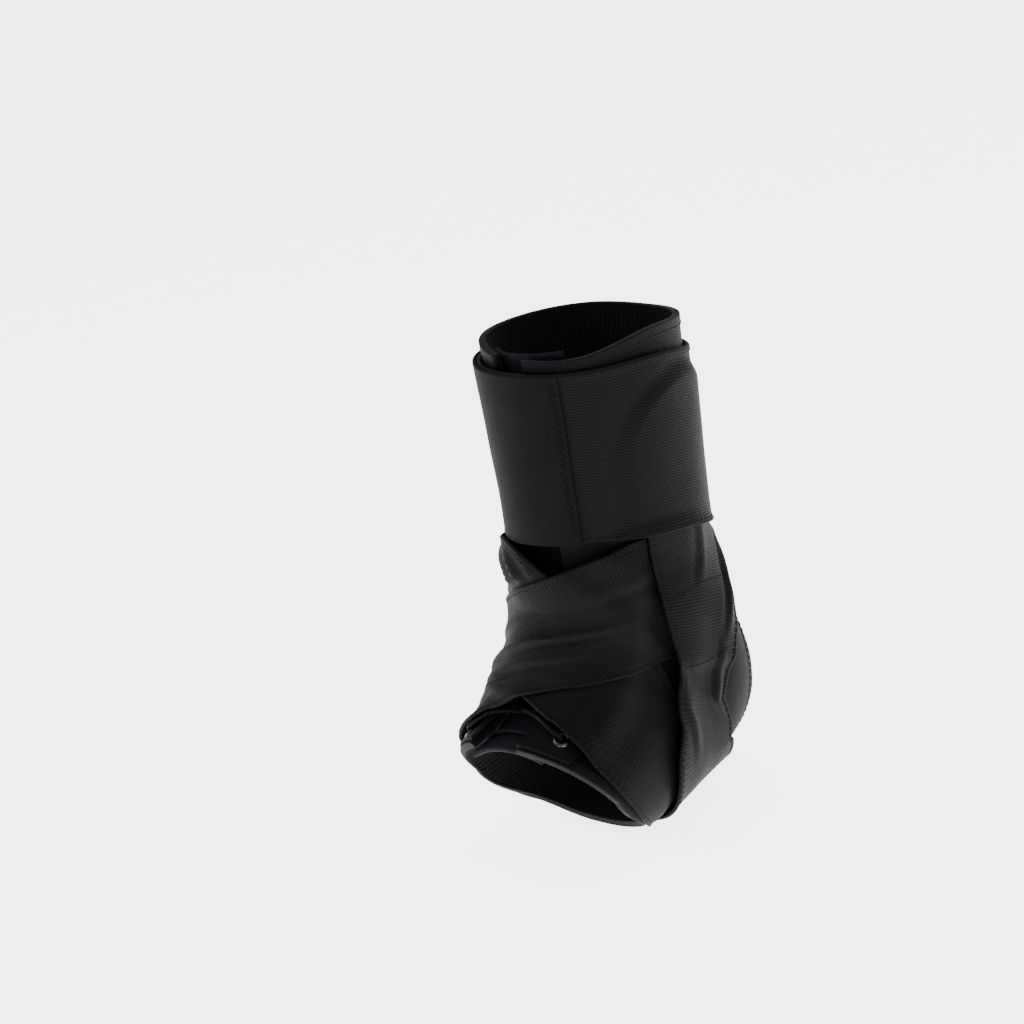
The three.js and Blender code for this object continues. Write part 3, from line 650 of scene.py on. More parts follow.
# %% [markdown]
# ## The straps
# Each strap is one closed band of woven tape with a turned and sewn edge. Its lower face stands as
# high as what it crosses. The outer strap's leading edge lifts off where it comes round the heel, which
# leaves the deep shadow in front of it, and no fold is laid on where another layer presses.

# %% Straps
RIPPLE_HEIGHT, RIPPLE_LENGTH, RIPPLE_SEED = 0.22, 17, 5
CLIMB_EARLY, CLIMB_ROWS = 1.9, 1.2
LIFT_FROM, LIFT_SPAN = 0.34, 1.34
CUFF_CLEAR, CUFF_FADE = 2.35, 0.3
STRAP_FINENESS = 1.25
cloths = {}


def strap_low(route, share, station, places, under, over, folds):
    """Height of the strap's lower face: over what it crosses, with its folds where nothing presses on it."""
    low = boot_top(places)
    last = smooth((route.t - LAST_RUN_START + CLIMB_EARLY) / CLIMB_ROWS)[:, None]
    low = low + STRAP_PITCH * last * coverage(places, strap_band(route.side, last=FIRST_RUN_END))
    if under is not None:
        lift = np.interp(route.t, np.arange(WRAP_ROWS + 1), WRAP["lift"])[:, None] * STRAP_LIFT
        low = low + STRAP_PITCH * turns(places, under) + lift * smooth((share + LIFT_FROM) / LIFT_SPAN)
    free = 1 if over is None else 1 - coverage(places, strap_band(over), margin=0.5, fall=3)
    free = free * smooth((station - CUFF_CLEAR) / CUFF_FADE)
    low = low + free * fold_relief(route, share, folds)
    return low + RIPPLE_HEIGHT * ripple(places, RIPPLE_LENGTH, RIPPLE_SEED)


def make_strap(name, side, under, over, folds):
    route = routes[side]
    inside = graded(STRAP_WIDTH, STRAP_FINENESS)[len(EDGE_STEPS):-len(EDGE_STEPS)]
    half = route.half[:, None]
    edge = EDGE_STEPS[None] / half
    middle = (inside / STRAP_WIDTH * 2 - 1)[None] * (1 - EDGE_STEPS[-1] / half)
    share = np.concatenate([-1 + edge, middle, 1 - edge[:, ::-1]], 1)
    station, angle = route.spread(share)
    places = skin(station, angle)
    from_side = (1 - np.abs(share)) * half
    from_end = np.minimum(route.along, route.length - route.along)[:, None]
    low = strap_low(route, share, station, places, under, over, folds)
    distance = np.minimum(from_side, from_end)
    low, high = walls(low, STRAP_WALL, distance, hem(from_side))
    cloths[name] = dict(station=station, angle=angle, high=high, across=share * half, rows=route.t)
    return slab(name, station, angle, low, high, route.along[:, None], share * half)


strap_inner = make_strap("strap_inner_webbing", INNER, None, OUTER, INNER_FOLDS)
strap_outer = make_strap("strap_outer_webbing", OUTER, INNER, None, OUTER_FOLDS)
for strap, node in ((strap_inner, "strap_inner"), (strap_outer, "strap_outer")):
    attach(strap, BODY)
    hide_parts(node)
    print(strap.name, len(strap.data.polygons), "faces")

# %% [markdown]
# ## The padded boot
# The boot is foam between two cloths. Foam swells wherever no seam and no strap presses on it, and a
# simulation finds that shape better than a hand can. So the wall is made as a closed slab, its inner
# face and its seams are pinned, and Blender's Cloth blows the rest up with a little pressure. The
# movement of each point is then capped, and it fades to nothing under the straps and at the edges, so
# that no layer pushes through the next one. The work happens on an enlarged copy, because a brace of
# natural size is too small for the solver's usual settings.

# %% Swelling padded cloth
ENLARGE = 20.0
SWELL_FRAMES, SWELL_QUALITY = 20, 4
SWELL_PRESSURE, STRETCH_STIFFNESS, BEND_STIFFNESS = 4.0, 8, 1.5
MOVES = 0.02


def swell(piece, share, cap):
    """Blows a piece up as a cushion. share is 0 at a pinned point, and each point moves cap mm at most."""
    mesh = piece.data
    count = len(mesh.vertices)
    start = np.zeros(count * 3)
    mesh.vertices.foreach_get("co", start)
    start = start.reshape(-1, 3)
    copy = add_object(piece.name + "_swelling", mesh.copy())
    copy.data.vertices.foreach_set("co", (start * ENLARGE).ravel())
    pins = copy.vertex_groups.new(name="pinned")
    for k in range(count):
        pins.add([k], float(1 - share[k]), "REPLACE")
    cloth = copy.modifiers.new("cloth", "CLOTH")
    settings = cloth.settings
    settings.quality = SWELL_QUALITY
    settings.vertex_group_mass = "pinned"
    settings.use_pressure = True
    settings.uniform_pressure_force = SWELL_PRESSURE
    settings.effector_weights.gravity = 0
    settings.tension_stiffness = settings.compression_stiffness = STRETCH_STIFFNESS
    settings.bending_stiffness = BEND_STIFFNESS
    cloth.collision_settings.use_collision = False
    cloth.point_cache.frame_end = SWELL_FRAMES
    scene = bpy.context.scene
    for number in range(1, SWELL_FRAMES + 1):
        scene.frame_set(number)
    shown = copy.evaluated_get(bpy.context.evaluated_depsgraph_get())
    end = np.zeros(count * 3)
    shown.data.vertices.foreach_get("co", end)
    moved = end.reshape(-1, 3) / ENLARGE - start
    length = np.linalg.norm(moved, axis=1)
    limit = np.asarray(cap) * MM
    moved *= (np.tanh(length / np.maximum(limit, 1e-9)) * limit / np.maximum(length, 1e-12))[:, None]
    mesh.vertices.foreach_set("co", (start + moved).ravel())
    mesh.update()
    bpy.data.objects.remove(copy)
    scene.frame_set(1)
    print(piece.name, "swelled by up to", round(float(length.max() / MM), 2), "mm before the cap")


def apply_modifiers(piece):
    """Turns a piece with its modifiers into a plain mesh."""
    shown = piece.evaluated_get(bpy.context.evaluated_depsgraph_get())
    made = bpy.data.meshes.new_from_object(shown)
    piece.modifiers.clear()
    piece.data = made
    made.polygons.foreach_set("use_smooth", [True] * len(made.polygons))
    return piece


def subdivide(piece):
    finer = piece.modifiers.new("finer", "SUBSURF")
    finer.levels = finer.render_levels = 1
    return apply_modifiers(piece)


def cut_away(piece, cutter):
    """Takes a closed shape out of a piece, and removes the cutter."""
    cut = piece.modifiers.new("cut", "BOOLEAN")
    cut.operation, cut.solver, cut.object = "DIFFERENCE", "EXACT", cutter
    apply_modifiers(piece)
    bpy.data.objects.remove(cutter)
    return piece


print("cloth swells over", SWELL_FRAMES, "frames")

# %% [markdown]
# ## The boot's wall
# The wall could be cut from flat cloth as a maker does, and sewn up in a simulation, but its fit would
# then be luck. So it is a grid that goes round from one edge of the lacing to the other, over the whole
# height, and follows both rims. A second number at each point says how far it may swell: nothing under
# the straps and at the seams, less under the cuff, and 1.1 mm where the cloth is free.

# %% The boot's wall
HEEL_WIDTH, HEEL_HEIGHT, HEEL_BACK, HEEL_DROP, HEEL_TILT = 51, 60, 32, 22, 16
BOOT_CAP = 1.1
BOOT_DOWN, BOOT_ROUND = 62, 118
NEAR_RIM = np.array([0, 0.02, 0.06, 0.12])
NEAR_LACING = np.array([0, 0.0012, 0.004, 0.009])
FACING_MARGIN, FACING_FADE = 1, 6
BOOT_CUFF_FROM, BOOT_CUFF_FADE, BOOT_CUFF_HOLD = 1.9, 0.5, 0.8
BACK_SEAM_ANGLE, BACK_SEAM_HOLD = 9, 0.9
SEWN_EDGE, SEWN_FADE = 2, 5
HEEL_MARGIN, HEEL_FADE = 1.05, 0.2
OUT_OF_REACH = 9.0


def heel_axes():
    tilt = math.radians(HEEL_TILT)
    return np.array([0, HEEL_BACK, -HEEL_DROP]), np.array([0, math.sin(tilt), math.cos(tilt)])


def heel_share(places):
    """1 on the edge of the heel opening, less inside it and more outside, for places at the back."""
    middle, up = heel_axes()
    off = places - middle
    behind = off @ np.array([0, up[2], -up[1]])
    share = np.hypot(off[..., 0] / (HEEL_WIDTH / 2), (off @ up) / (HEEL_HEIGHT / 2))
    return np.where(behind > -ANKLE_DEPTH / 2, share, OUT_OF_REACH)


def with_edges(near, count, whole):
    """Places from 0 to whole: those near an edge as listed, at both ends, and even ones between them."""
    return np.concatenate([near[:-1], np.linspace(near[-1], whole - near[-1], count), whole - near[-2::-1]])


def round_the_boot(row, share):
    """The angle at a share of the way from the lacing's outer edge round the back to its inner edge."""
    return gap_edge(row, OUTER) * (1 - share) + (360 + gap_edge(row, INNER)) * share


def boot_grid():
    down = with_edges(NEAR_RIM, BOOT_DOWN, TOE_MIDDLE)
    around = with_edges(NEAR_LACING, BOOT_ROUND, 1)
    row, share = np.meshgrid(down, around)
    angle = round_the_boot(row, share)
    top, toe = rim("top", angle), rim("toe", angle)
    station = top + (toe - top) * row / TOE_MIDDLE
    return station, angle, row, share


def make_boot():
    station, angle, row, _ = boot_grid()
    places = skin(station, angle)
    down = travelled(places.swapaxes(0, 1)).T
    around = travelled(places)
    from_rim = np.minimum(down, down[:, -1:] - down)
    from_lacing = np.minimum(around, around[-1:] - around)
    edge = np.minimum(from_rim, from_lacing)
    low, high = walls(np.full(row.shape, SHELL_LOW), SHELL_WALL, edge)
    boot = slab("boot_body", station, angle, low, high, around, down)
    pressed = np.maximum(turns(places, OUTER), turns(places, INNER)).clip(0, 1)
    facing = 1 - smooth((from_lacing - FACING_WIDTH - FACING_MARGIN) / FACING_FADE)
    cuff = 1 - smooth((station - BOOT_CUFF_FROM) / BOOT_CUFF_FADE)
    back_seam = 1 - smooth(np.abs(np.mod(angle, 360) - 180) / BACK_SEAM_ANGLE)
    free = (1 - pressed) * (1 - facing) * (1 - cuff * BOOT_CUFF_HOLD)
    free *= smooth((edge - SEWN_EDGE) / SEWN_FADE)
    free *= smooth((heel_share(places) - HEEL_MARGIN) / HEEL_FADE) * (1 - BACK_SEAM_HOLD * back_seam)
    outside = np.concatenate([free, np.zeros_like(free)], 1).ravel()
    swell(boot, (outside > MOVES).astype(float), BOOT_CAP * outside)
    return subdivide(boot)


boot_body = make_boot()
print("boot wall", len(boot_body.data.polygons), "faces")

# %% [markdown]
# ## The heel opening
# The opening is cut through that wall with one slanted, elliptic bar. A boolean is right here:
# the opening's outline is simple, and the tape that binds its edge hides the cut faces.

# %% The heel opening
BAR_SIDES = 128


def cut_heel(boot):
    middle, up = heel_axes()
    turn = np.linspace(0, 2 * np.pi, BAR_SIDES, endpoint=False)
    back = np.array([0, up[2], -up[1]])
    outline = np.stack([np.cos(turn) * HEEL_WIDTH / 2, np.sin(turn) * HEEL_HEIGHT / 2], 1)
    ring = middle + outline[:, :1] * np.array([1, 0, 0]) + outline[:, 1:] * up
    rings = np.stack([ring - back * ANKLE_DEPTH / 2, ring + back * ANKLE_DEPTH / 2])
    bar = rings_to_piece("heel_bar", rings, np.zeros((2, BAR_SIDES, 2)))
    return cut_away(boot, bar)


cut_heel(boot_body)
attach(boot_body, BODY)
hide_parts("boot_shell")
print("boot after the cut", len(boot_body.data.polygons), "faces")

# %% [markdown]
# ## The tongue
# The tongue lies behind the lacing and is padded like the boot, with a quilting seam near its toe end.
# It is made the same way, as a slab that swells. Where the lace crosses it, it may swell only a little,
# and the seam is a groove in its upper face that stays pinned.

# %% Tongue
TONGUE_TOP, TONGUE_TOE = 0.25, 10.85
TONGUE_CAP, TONGUE_TOE_CAP, TOE_CAP_LENGTH, TOE_CAP_FADE = 0.35, 0.9, 12, 6
TONGUE_ROWS = np.concatenate([
    TONGUE_TOP + np.array([0, 0.01, 0.03]),
    np.linspace(TONGUE_TOP + 0.07, TONGUE_TOE - 0.05, 100),
    TONGUE_TOE - np.array([0.02, 0.008, 0]),
])
QUILTING_FROM_TOE, QUILTING_DEPTH, QUILTING_HOLD = 9.0, 0.8, 1.5
MIDDLE_COLUMN = 20


def make_tongue():
    half = TONGUE_WIDTH / 2
    across = graded(TONGUE_WIDTH, 1.3) - half
    station, length = np.meshgrid(TONGUE_ROWS, across, indexing="ij")
    angle = beside(station, np.sign(length), np.abs(length))
    down = travelled(skin(station, angle))
    from_toe = down[-1:] - down
    edge = np.minimum(np.minimum(down, from_toe), half - np.abs(length))
    sewn = bell(from_toe, QUILTING_FROM_TOE)
    relief = hem(edge) - QUILTING_DEPTH * sewn
    low, high = walls(np.full(station.shape, TONGUE_LOW), TONGUE_WALL, edge, relief)
    rows = from_toe[:, MIDDLE_COLUMN]
    cloths["tongue_pad"] = dict(station=station, angle=angle, high=high, across=length, rows=rows)
    tongue = slab("tongue_pad", station, angle, low, high, down, length)
    free = smooth((edge - SEWN_EDGE) / 4) * (1 - np.clip(sewn * QUILTING_HOLD, 0, 1))
    at_toe = 1 - smooth((from_toe - TOE_CAP_LENGTH) / TOE_CAP_FADE)
    cap = TONGUE_CAP + (TONGUE_TOE_CAP - TONGUE_CAP) * at_toe
    outside = np.concatenate([free, np.zeros_like(free)], 1).ravel()
    swell(tongue, (outside > MOVES).astype(float), outside * np.concatenate([cap, cap], 1).ravel())
    return subdivide(tongue)


tongue_pad = make_tongue()
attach(tongue_pad, BODY)
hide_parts("tongue")
print("tongue", len(tongue_pad.data.polygons), "faces")

# %% [markdown]
# ## Facings
# The facings are the two flat strips that carry the eyelets. They need no simulation, because they are
# sewn flat on the boot all the way round. Each is a slab whose rows go down beside the lacing and end
# just short of the toe's rim.

# %% Facings
FACING_SHORT = 0.05
FACING_ROWS = np.concatenate([
    [3, 3.004, 3.014, 3.03], np.linspace(3.08, 10.95, 96), [10.98, 10.99, 10.997, TOE_MIDDLE],
])
SIDE_NAMES = {OUTER: "outer", INNER: "inner"}


def facing_spots(side, row, across):
    """Stations and angles of a facing, for rows along the lacing and lengths from its inner edge."""
    row, across = np.meshgrid(row, across, indexing="ij")
    angle = beside(row, side, lacing_half(row) + across)
    share = (row - LACING_TOP) / (TOE_MIDDLE - LACING_TOP)
    station = LACING_TOP + share * (rim("toe", angle) - FACING_SHORT - LACING_TOP)
    return station, angle, across


def make_facing(side):
    station, angle, across = facing_spots(side, FACING_ROWS, graded(FACING_WIDTH, 1.0))
    down = travelled(skin(station, angle))
    edge = np.minimum(np.minimum(across, FACING_WIDTH - across), np.minimum(down, down[-1:] - down))
    low, high = walls(np.full(station.shape, FACING_LOW), FACING_WALL, edge, hem(edge))
    name = "facing_" + SIDE_NAMES[side] + "_cloth"
    cloths[name] = dict(station=station, angle=angle, high=high, across=across, rows=down[:, 0])
    return slab(name, station, angle, low, high, down, across)


facings = {side: make_facing(side) for side in (OUTER, INNER)}
print("facings", [len(piece.data.polygons) for piece in facings.values()], "faces")

# %% [markdown]
# ## Trees for what repeats
# Eyelets and stitches repeat, and a Geometry Nodes tree can stand one shape on many points. Wiring such
# a tree node by node is long, so this class adds the nodes, gives the tree named inputs, and ends it in
# Realize Instances and Set Material. `run` then turns the result into a plain mesh, so nothing depends
# on the tree later. The shapes themselves are turned on a lathe.

# %% A small builder for geometry trees
class Tree:
    """A Geometry Nodes tree that takes the object's own geometry and gives new geometry."""

    def __init__(self, name):
        self.tree = bpy.data.node_groups.new(name, "GeometryNodeTree")
        self.tree.interface.new_socket("Geometry", in_out="INPUT", socket_type="NodeSocketGeometry")
        self.tree.interface.new_socket("Geometry", in_out="OUTPUT", socket_type="NodeSocketGeometry")
        self.entry = self.tree.nodes.new("NodeGroupInput")
        self.leave = self.tree.nodes.new("NodeGroupOutput")
        self.names = {}

    def input(self, name, kind):
        made = self.tree.interface.new_socket(name, in_out="INPUT", socket_type="NodeSocket" + kind)
        self.names[name] = made.identifier
        return self.entry.outputs[name]

    def node(self, kind, settings=None, **sockets):
        made = self.tree.nodes.new(kind)
        for key, value in (settings or {}).items():
            setattr(made, key, value)
        for key, value in sockets.items():
            socket = made.inputs[key.replace("_", " ")]
            if isinstance(value, bpy.types.NodeSocket):
                self.tree.links.new(value, socket)
            else:
                socket.default_value = value
        return made

    def finish(self, geometry):
        whole = self.node("GeometryNodeRealizeInstances", Geometry=geometry)
        painted = self.node("GeometryNodeSetMaterial", Geometry=whole.outputs[0],
                            Material=self.input("Material", "Material"))
        self.tree.links.new(painted.outputs[0], self.leave.inputs[0])
        return self

    def run(self, piece, **values):
        """Runs the tree on a piece and leaves a plain mesh in its place."""
        grow = piece.modifiers.new("grow", "NODES")
        grow.node_group = self.tree
        for key, value in values.items():
            grow[self.names[key.replace("_", " ")]] = value
        return apply_modifiers(piece)


def plain_material(name):
    return bpy.data.materials.get(name) or bpy.data.materials.new(name)


def hidden_template(name, points, faces):
    made = new_piece(name, points, faces)
    made.hide_render = True
    made.hide_viewport = True
    return made


def lathe(profile, sides):
    """Points and faces of a closed profile of (radius, height) turned round Z."""
    profile = np.array(profile, float)
    turn = np.linspace(0, 2 * np.pi, sides, endpoint=False)
    ring = np.stack([np.cos(turn)[:, None] * profile[:, 0], np.sin(turn)[:, None] * profile[:, 0],
                     np.broadcast_to(profile[:, 1], (sides, len(profile)))], -1)
    index = np.arange(ring.shape[0] * ring.shape[1]).reshape(ring.shape[:2])
    after = np.roll(index, -1, 0)
    quads = np.stack([index, after, np.roll(after, -1, 1), np.roll(index, -1, 1)], -1).reshape(-1, 4)
    return ring.reshape(-1, 3), quads.tolist()


print("a lathe makes", len(lathe([(1, 0), (2, 0), (2, 1)], 8)[1]), "faces from 3 points and 8 sides")

# %% [markdown]
# ## Eyelets and their holes
# An eyelet is pressed from thin metal: a tube through the cloth, a rolled rim outside and a small flare
# inside. Its section is a list of radii and heights. The tree stands it on each of the eight points,
# along the direction that the skin faces there, and one cutter opens the holes in boot and facings.

# %% Eyelets and their holes
EYELET_TURN = 36
HOLE_RADIUS = EYELET_BORE / 2 + EYELET_TUBE + 0.1
PUNCH_LOW, PUNCH_HIGH, PUNCH_CORE, PUNCH_SIDES = -4, 8, 0.01, 24


def eyelet_spots(side):
    """Station and angle of each eyelet on a side, from the toe upwards."""
    def place(station):
        return beside(station, side, lacing_half(station) + EYELET_INSET)

    fine = np.linspace(FIRST_EYELET, LACING_TOP, 1200)
    walked = travelled(skin(fine, place(fine)))
    station = np.interp(np.arange(EYELET_COUNT) * EYELET_SPACING, walked, fine)
    return station, place(station)


def eyelet_profile():
    bore, tube, outer = EYELET_BORE / 2, EYELET_BORE / 2 + EYELET_TUBE, EYELET_OUTER / 2
    return [
        (bore, SHELL_LOW - 0.1),
        (bore, EYELET_LOW + EYELET_RIM * 0.5),
        (bore + 0.12, EYELET_LOW + EYELET_RIM * 0.82),
        (bore + 0.36, EYELET_HIGH),
        (bore + 0.7, EYELET_HIGH - 0.04),
        (outer - 0.35, EYELET_LOW + EYELET_RIM * 0.62),
        (outer - 0.08, EYELET_LOW + EYELET_RIM * 0.34),
        (outer, EYELET_LOW + EYELET_RIM * 0.12),
        (outer - 0.1, EYELET_LOW),
        (tube, EYELET_LOW),
        (tube, SHELL_LOW + 0.1),
        (tube + 0.5, SHELL_LOW - 0.1),
        (tube + 0.45, SHELL_LOW - 0.25),
        (tube, SHELL_LOW - 0.3),
        (bore + 0.1, SHELL_LOW - 0.3),
    ]


eyelets = {side: eyelet_spots(side) for side in (OUTER, INNER)}
eyelet_station = np.concatenate([eyelets[OUTER][0], eyelets[INNER][0]])
eyelet_angle = np.concatenate([eyelets[OUTER][1], eyelets[INNER][1]])


def points_with_direction(name, places, directions):
    mesh = bpy.data.meshes.new(name)
    mesh.from_pydata((np.asarray(places) * MM).tolist(), [], [])
    layer = mesh.attributes.new("facing", "FLOAT_VECTOR", "POINT")
    layer.data.foreach_set("vector", np.asarray(directions, np.float32).ravel())
    return add_object(name, mesh)


def standing_tree():
    """Stands an object on every point, with its Z axis along the point's direction."""
    tree = Tree("stand_on_points")
    direction = tree.node("GeometryNodeInputNamedAttribute", {"data_type": "FLOAT_VECTOR"}, Name="facing")
    turned = tree.node("FunctionNodeAlignRotationToVector", {"axis": "Z"}, Vector=direction.outputs[0])
    part = tree.node("GeometryNodeObjectInfo", Object=tree.input("Part", "Object"))
    placed = tree.node("GeometryNodeInstanceOnPoints", Points=tree.entry.outputs[0],
                       Instance=part.outputs["Geometry"], Rotation=turned.outputs[0])
    return tree.finish(placed.outputs[0])


template = hidden_template("eyelet_template", *lathe(eyelet_profile(), EYELET_TURN))
eyelet_rings = points_with_direction(
    "eyelet_rings", skin(eyelet_station, eyelet_angle), outward(eyelet_station, eyelet_angle))
standing_tree().run(eyelet_rings, Part=template, Material=plain_material("eyelet_metal"))
bpy.data.objects.remove(template)
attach(eyelet_rings, BODY)
eyelet_nodes = [f"eyelet_{name}_{k + 1}" for name in SIDE_NAMES.values() for k in range(EYELET_COUNT)]
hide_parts(*eyelet_nodes)
print("eyelets", len(eyelet_rings.data.polygons), "faces")

# %% [markdown]
# ## The eyelets' holes
# Boot and facings need real holes, because one looks through the eyelets. Eight rods make one cutter,
# so each piece takes a single boolean. Its rods are a little wider than the eyelet's tube.

# %% Holes for the eyelets
def pierce(piece):
    """Cuts all eyelet holes through a piece with one cutter."""
    points, faces = [], []
    for station, angle in zip(eyelet_station, eyelet_angle):
        rod, quads = lathe([(HOLE_RADIUS, PUNCH_LOW), (HOLE_RADIUS, PUNCH_HIGH),
                            (PUNCH_CORE, PUNCH_HIGH), (PUNCH_CORE, PUNCH_LOW)], PUNCH_SIDES)
        up = outward(station, angle)
        across = unit(np.cross(up, np.array([0, 0, 1.0])))
        axes = np.stack([across, np.cross(up, across), up])
        offset = sum(len(part) for part in points)
        points.append(rod @ axes + skin(station, angle))
        faces += [[k + offset for k in quad][::-1] for quad in quads]
    cutter = new_piece("eyelet_cutter", np.concatenate(points), faces)
    cut_away(piece, cutter)


pierce(boot_body)
for side, piece in facings.items():
    pierce(piece)
    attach(piece, BODY)
    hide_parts("facing_" + SIDE_NAMES[side])
    length = cloths[piece.name]["rows"][-1] * MM
print("boot and facings are pierced, the boot has", len(boot_body.data.polygons), "faces")

# %% [markdown]
# ## The lace
# One cord starts at the toe end, goes out through both first eyelets and crosses over to the next pair,
# up to the last. Its route is a list of places given as station, angle and height. A curve through
# them is swept as a closed tube. The cord is held all the way.

# %% Lace
EDGE_CROSSING = 0.22
BAR_STEPS = 8
LACE_SIDES, LACE_STEP = 12, 0.45
THROUGH = [
    (2.2, LACE_UNDER),
    (0.72, LACE_UNDER),
    (0.05, SHELL_LOW + LACE_RADIUS),
    (0, FACING_LOW),
    (0.05, EYELET_HIGH),
    (0.72, LACE_OVER),
    (2.2, LACE_OVER),
]


def through_eyelet(side, station):
    """Out through an eyelet: it comes from the lacing's middle below and leaves over the top."""
    hole = lacing_half(station) + EYELET_INSET
    return [(station, beside(station, side, hole - steps * LACE_DIAMETER), height)
            for steps, height in THROUGH]


def crossing(side, lower, upper, height):
    """From over one facing's edge to under the other facing."""
    middle, near, far = ((1 - s) * lower + s * upper for s in (0.5, EDGE_CROSSING, 1 - EDGE_CROSSING))
    late = (middle + far) / 2
    return [
        (near, gap_edge(near, side), LACE_OVER_FACING),
        (middle, lacing_middle(middle), height),
        (late, beside(late, -side, lacing_half(late) / 2), LACE_UNDER),
        (far, gap_edge(far, -side), LACE_UNDER),
    ]


def lace_half(start, height):
    side, spots = start, []
    for k in range(EYELET_COUNT):
        station = eyelets[side][0][k]
        spots += through_eyelet(side, station)
        if k + 1 < EYELET_COUNT:
            spots += crossing(side, station, eyelets[-side][0][k + 1], height)
            side = -side
    station = eyelets[side][0][-1]
    spots.append((station, gap_edge(station, side), LACE_OVER))
    spots.append((station, beside(station, side, LACE_DIAMETER), LACE_OVER))
    return spots


def lace_route():
    reach = lacing_half(FIRST_EYELET) + EYELET_INSET - EYELET_OUTER
    bar = [(FIRST_EYELET, beside(FIRST_EYELET, np.sign(x), abs(x)), LACE_UNDER)
           for x in np.linspace(-reach, reach, BAR_STEPS + 1)]
    first = lace_half(INNER, LACE_UNDER)[::-1]
    return np.array([*first, *bar, *lace_half(OUTER, LACE_UNDER + LACE_DIAMETER + FIT_GAP)], float)


spots = lace_route()
print(len(spots), "places on the lace's route")

# %% [markdown]
# ## A cord along a path
# A curve object with a round bevel would make a cord, but without a UV map in millimetres, and the
# braid needs one. So the path is resampled in even steps, and a ring of points is carried along it,
# turned as little as possible from one place to the next.

# %% Sweeping the cord
def smooth_path(places, step):
    """A curve through the places in even steps."""
    rows = np.linspace(0, len(places) - 1, len(places) * 24)
    fine = np.stack([curve(places[:, k], rows) for k in range(3)], -1)
    walked = travelled(fine)
    even = np.linspace(0, walked[-1], max(4, int(walked[-1] / step)))
    return np.stack([np.interp(even, walked, fine[:, k]) for k in range(3)], -1), even


def sweep(name, path, along, radius, sides):
    """A round closed tube along a path, turned as little as possible."""
    tangent = unit(np.gradient(path, axis=0))
    normal = np.zeros_like(path)
    normal[0] = unit(np.cross(tangent[0], [0.3, 0.5, 0.8]))
    for k in range(1, len(path)):
        kept = normal[k - 1] - tangent[k] * (normal[k - 1] @ tangent[k])
        normal[k] = kept / np.linalg.norm(kept)
    other = np.cross(tangent, normal)
    turn = np.linspace(0, 2 * np.pi, sides, endpoint=False)
    cosine, sine = np.cos(turn)[:, None], np.sin(turn)[:, None]
    rings = path[:, None] + radius * (cosine * normal[:, None] + sine * other[:, None])
    uv = np.stack(np.broadcast_arrays(along[:, None], turn[None] * radius), -1)
    return rings_to_piece(name, rings, uv)


path, along = smooth_path(lifted(spots[:, 0], spots[:, 1], spots[:, 2]), LACE_STEP)
lace_cord = sweep("lace_cord", path, along, LACE_RADIUS, LACE_SIDES)
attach(lace_cord, BODY)
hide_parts("lace")
print("lace", round(along[-1]), "mm long,", len(lace_cord.data.polygons), "faces")

# %% [markdown]
# ## The cuff
# The wide elastic goes all the way round the leg, over the sewn ends of both straps. Its smooth end is
# a second layer on the inner half, and a zigzag seam holds that layer's front edge. Both are grids whose
# columns run round the leg and whose rows run down it, from one wandering rim to the other.

# %% Cuff band and its smooth end
CUFF_HEIGHT, CUFF_MIDDLE = 72, 88
TAB_FROM, TAB_TO = -105, 33
CUFF_HEM, TAB_PLAY = 3.2, 0.45
CUFF_RIPPLE, CUFF_RIPPLE_LENGTH, CUFF_RIPPLE_SEED = 0.18, 26, 3
CUFF_ROUND, CUFF_GIRTH = 260, 1.15
HIDDEN_JOIN = -36
LEG_STATIONS = np.arange(LEG_ROWS + 1)


def station_at(height):
    return np.interp(height, PLANE_Z[LEG_STATIONS][::-1], LEG_STATIONS[::-1])


def cuff_low(places):
    low = np.full(places.shape[:-1], float(CUFF_BASE))
    for side in (OUTER, INNER):
        low += CUFF_PITCH * coverage(places, strap_band(side, last=FIRST_RUN_END))
        low += CUFF_PITCH * coverage(places, strap_band(side, first=LAST_RUN_START))
    return low + CUFF_RIPPLE * ripple(places, CUFF_RIPPLE_LENGTH, CUFF_RIPPLE_SEED)


def cuff_grid(angles, step):
    """Stations, angles, and at each point the lengths to the upper and to the lower edge."""
    share = graded(CUFF_HEIGHT, step) / CUFF_HEIGHT
    angle, share = np.meshgrid(angles, share, indexing="ij")
    top = CUFF_MIDDLE + rim("cuff_top", angle) * CUFF_HEIGHT
    bottom = CUFF_MIDDLE + rim("cuff_bottom", angle) * CUFF_HEIGHT
    height = top - bottom
    return station_at(top - height * share), angle, share * height, (1 - share) * height


def cuff_relief(from_top, from_bottom):
    top = 0.35 * (1 - smooth((from_top - CUFF_HEM * 0.8) / (CUFF_HEM * 0.2)))
    groove = 0.4 * np.exp(-(((from_top - CUFF_HEM) / 0.45) ** 2))
    return top - groove + hem(from_bottom)


def make_cuff_band():
    angles = HIDDEN_JOIN + np.linspace(0, 360, CUFF_ROUND, endpoint=False)
    station, angle, from_top, from_bottom = cuff_grid(angles, 1.0)
    places = skin(station, angle)
    edge = np.minimum(from_top, from_bottom)
    low, high = walls(cuff_low(places), CUFF_WALL, edge, cuff_relief(from_top, from_bottom))
    around = np.radians(angle) * ANKLE_WIDTH / 2 * CUFF_GIRTH
    cloths["cuff_band_elastic"] = dict(station=station, angle=angle, high=high, across=from_top, rows=angles)
    return slab("cuff_band_elastic", station, angle, low, high, around, from_top, around=True)


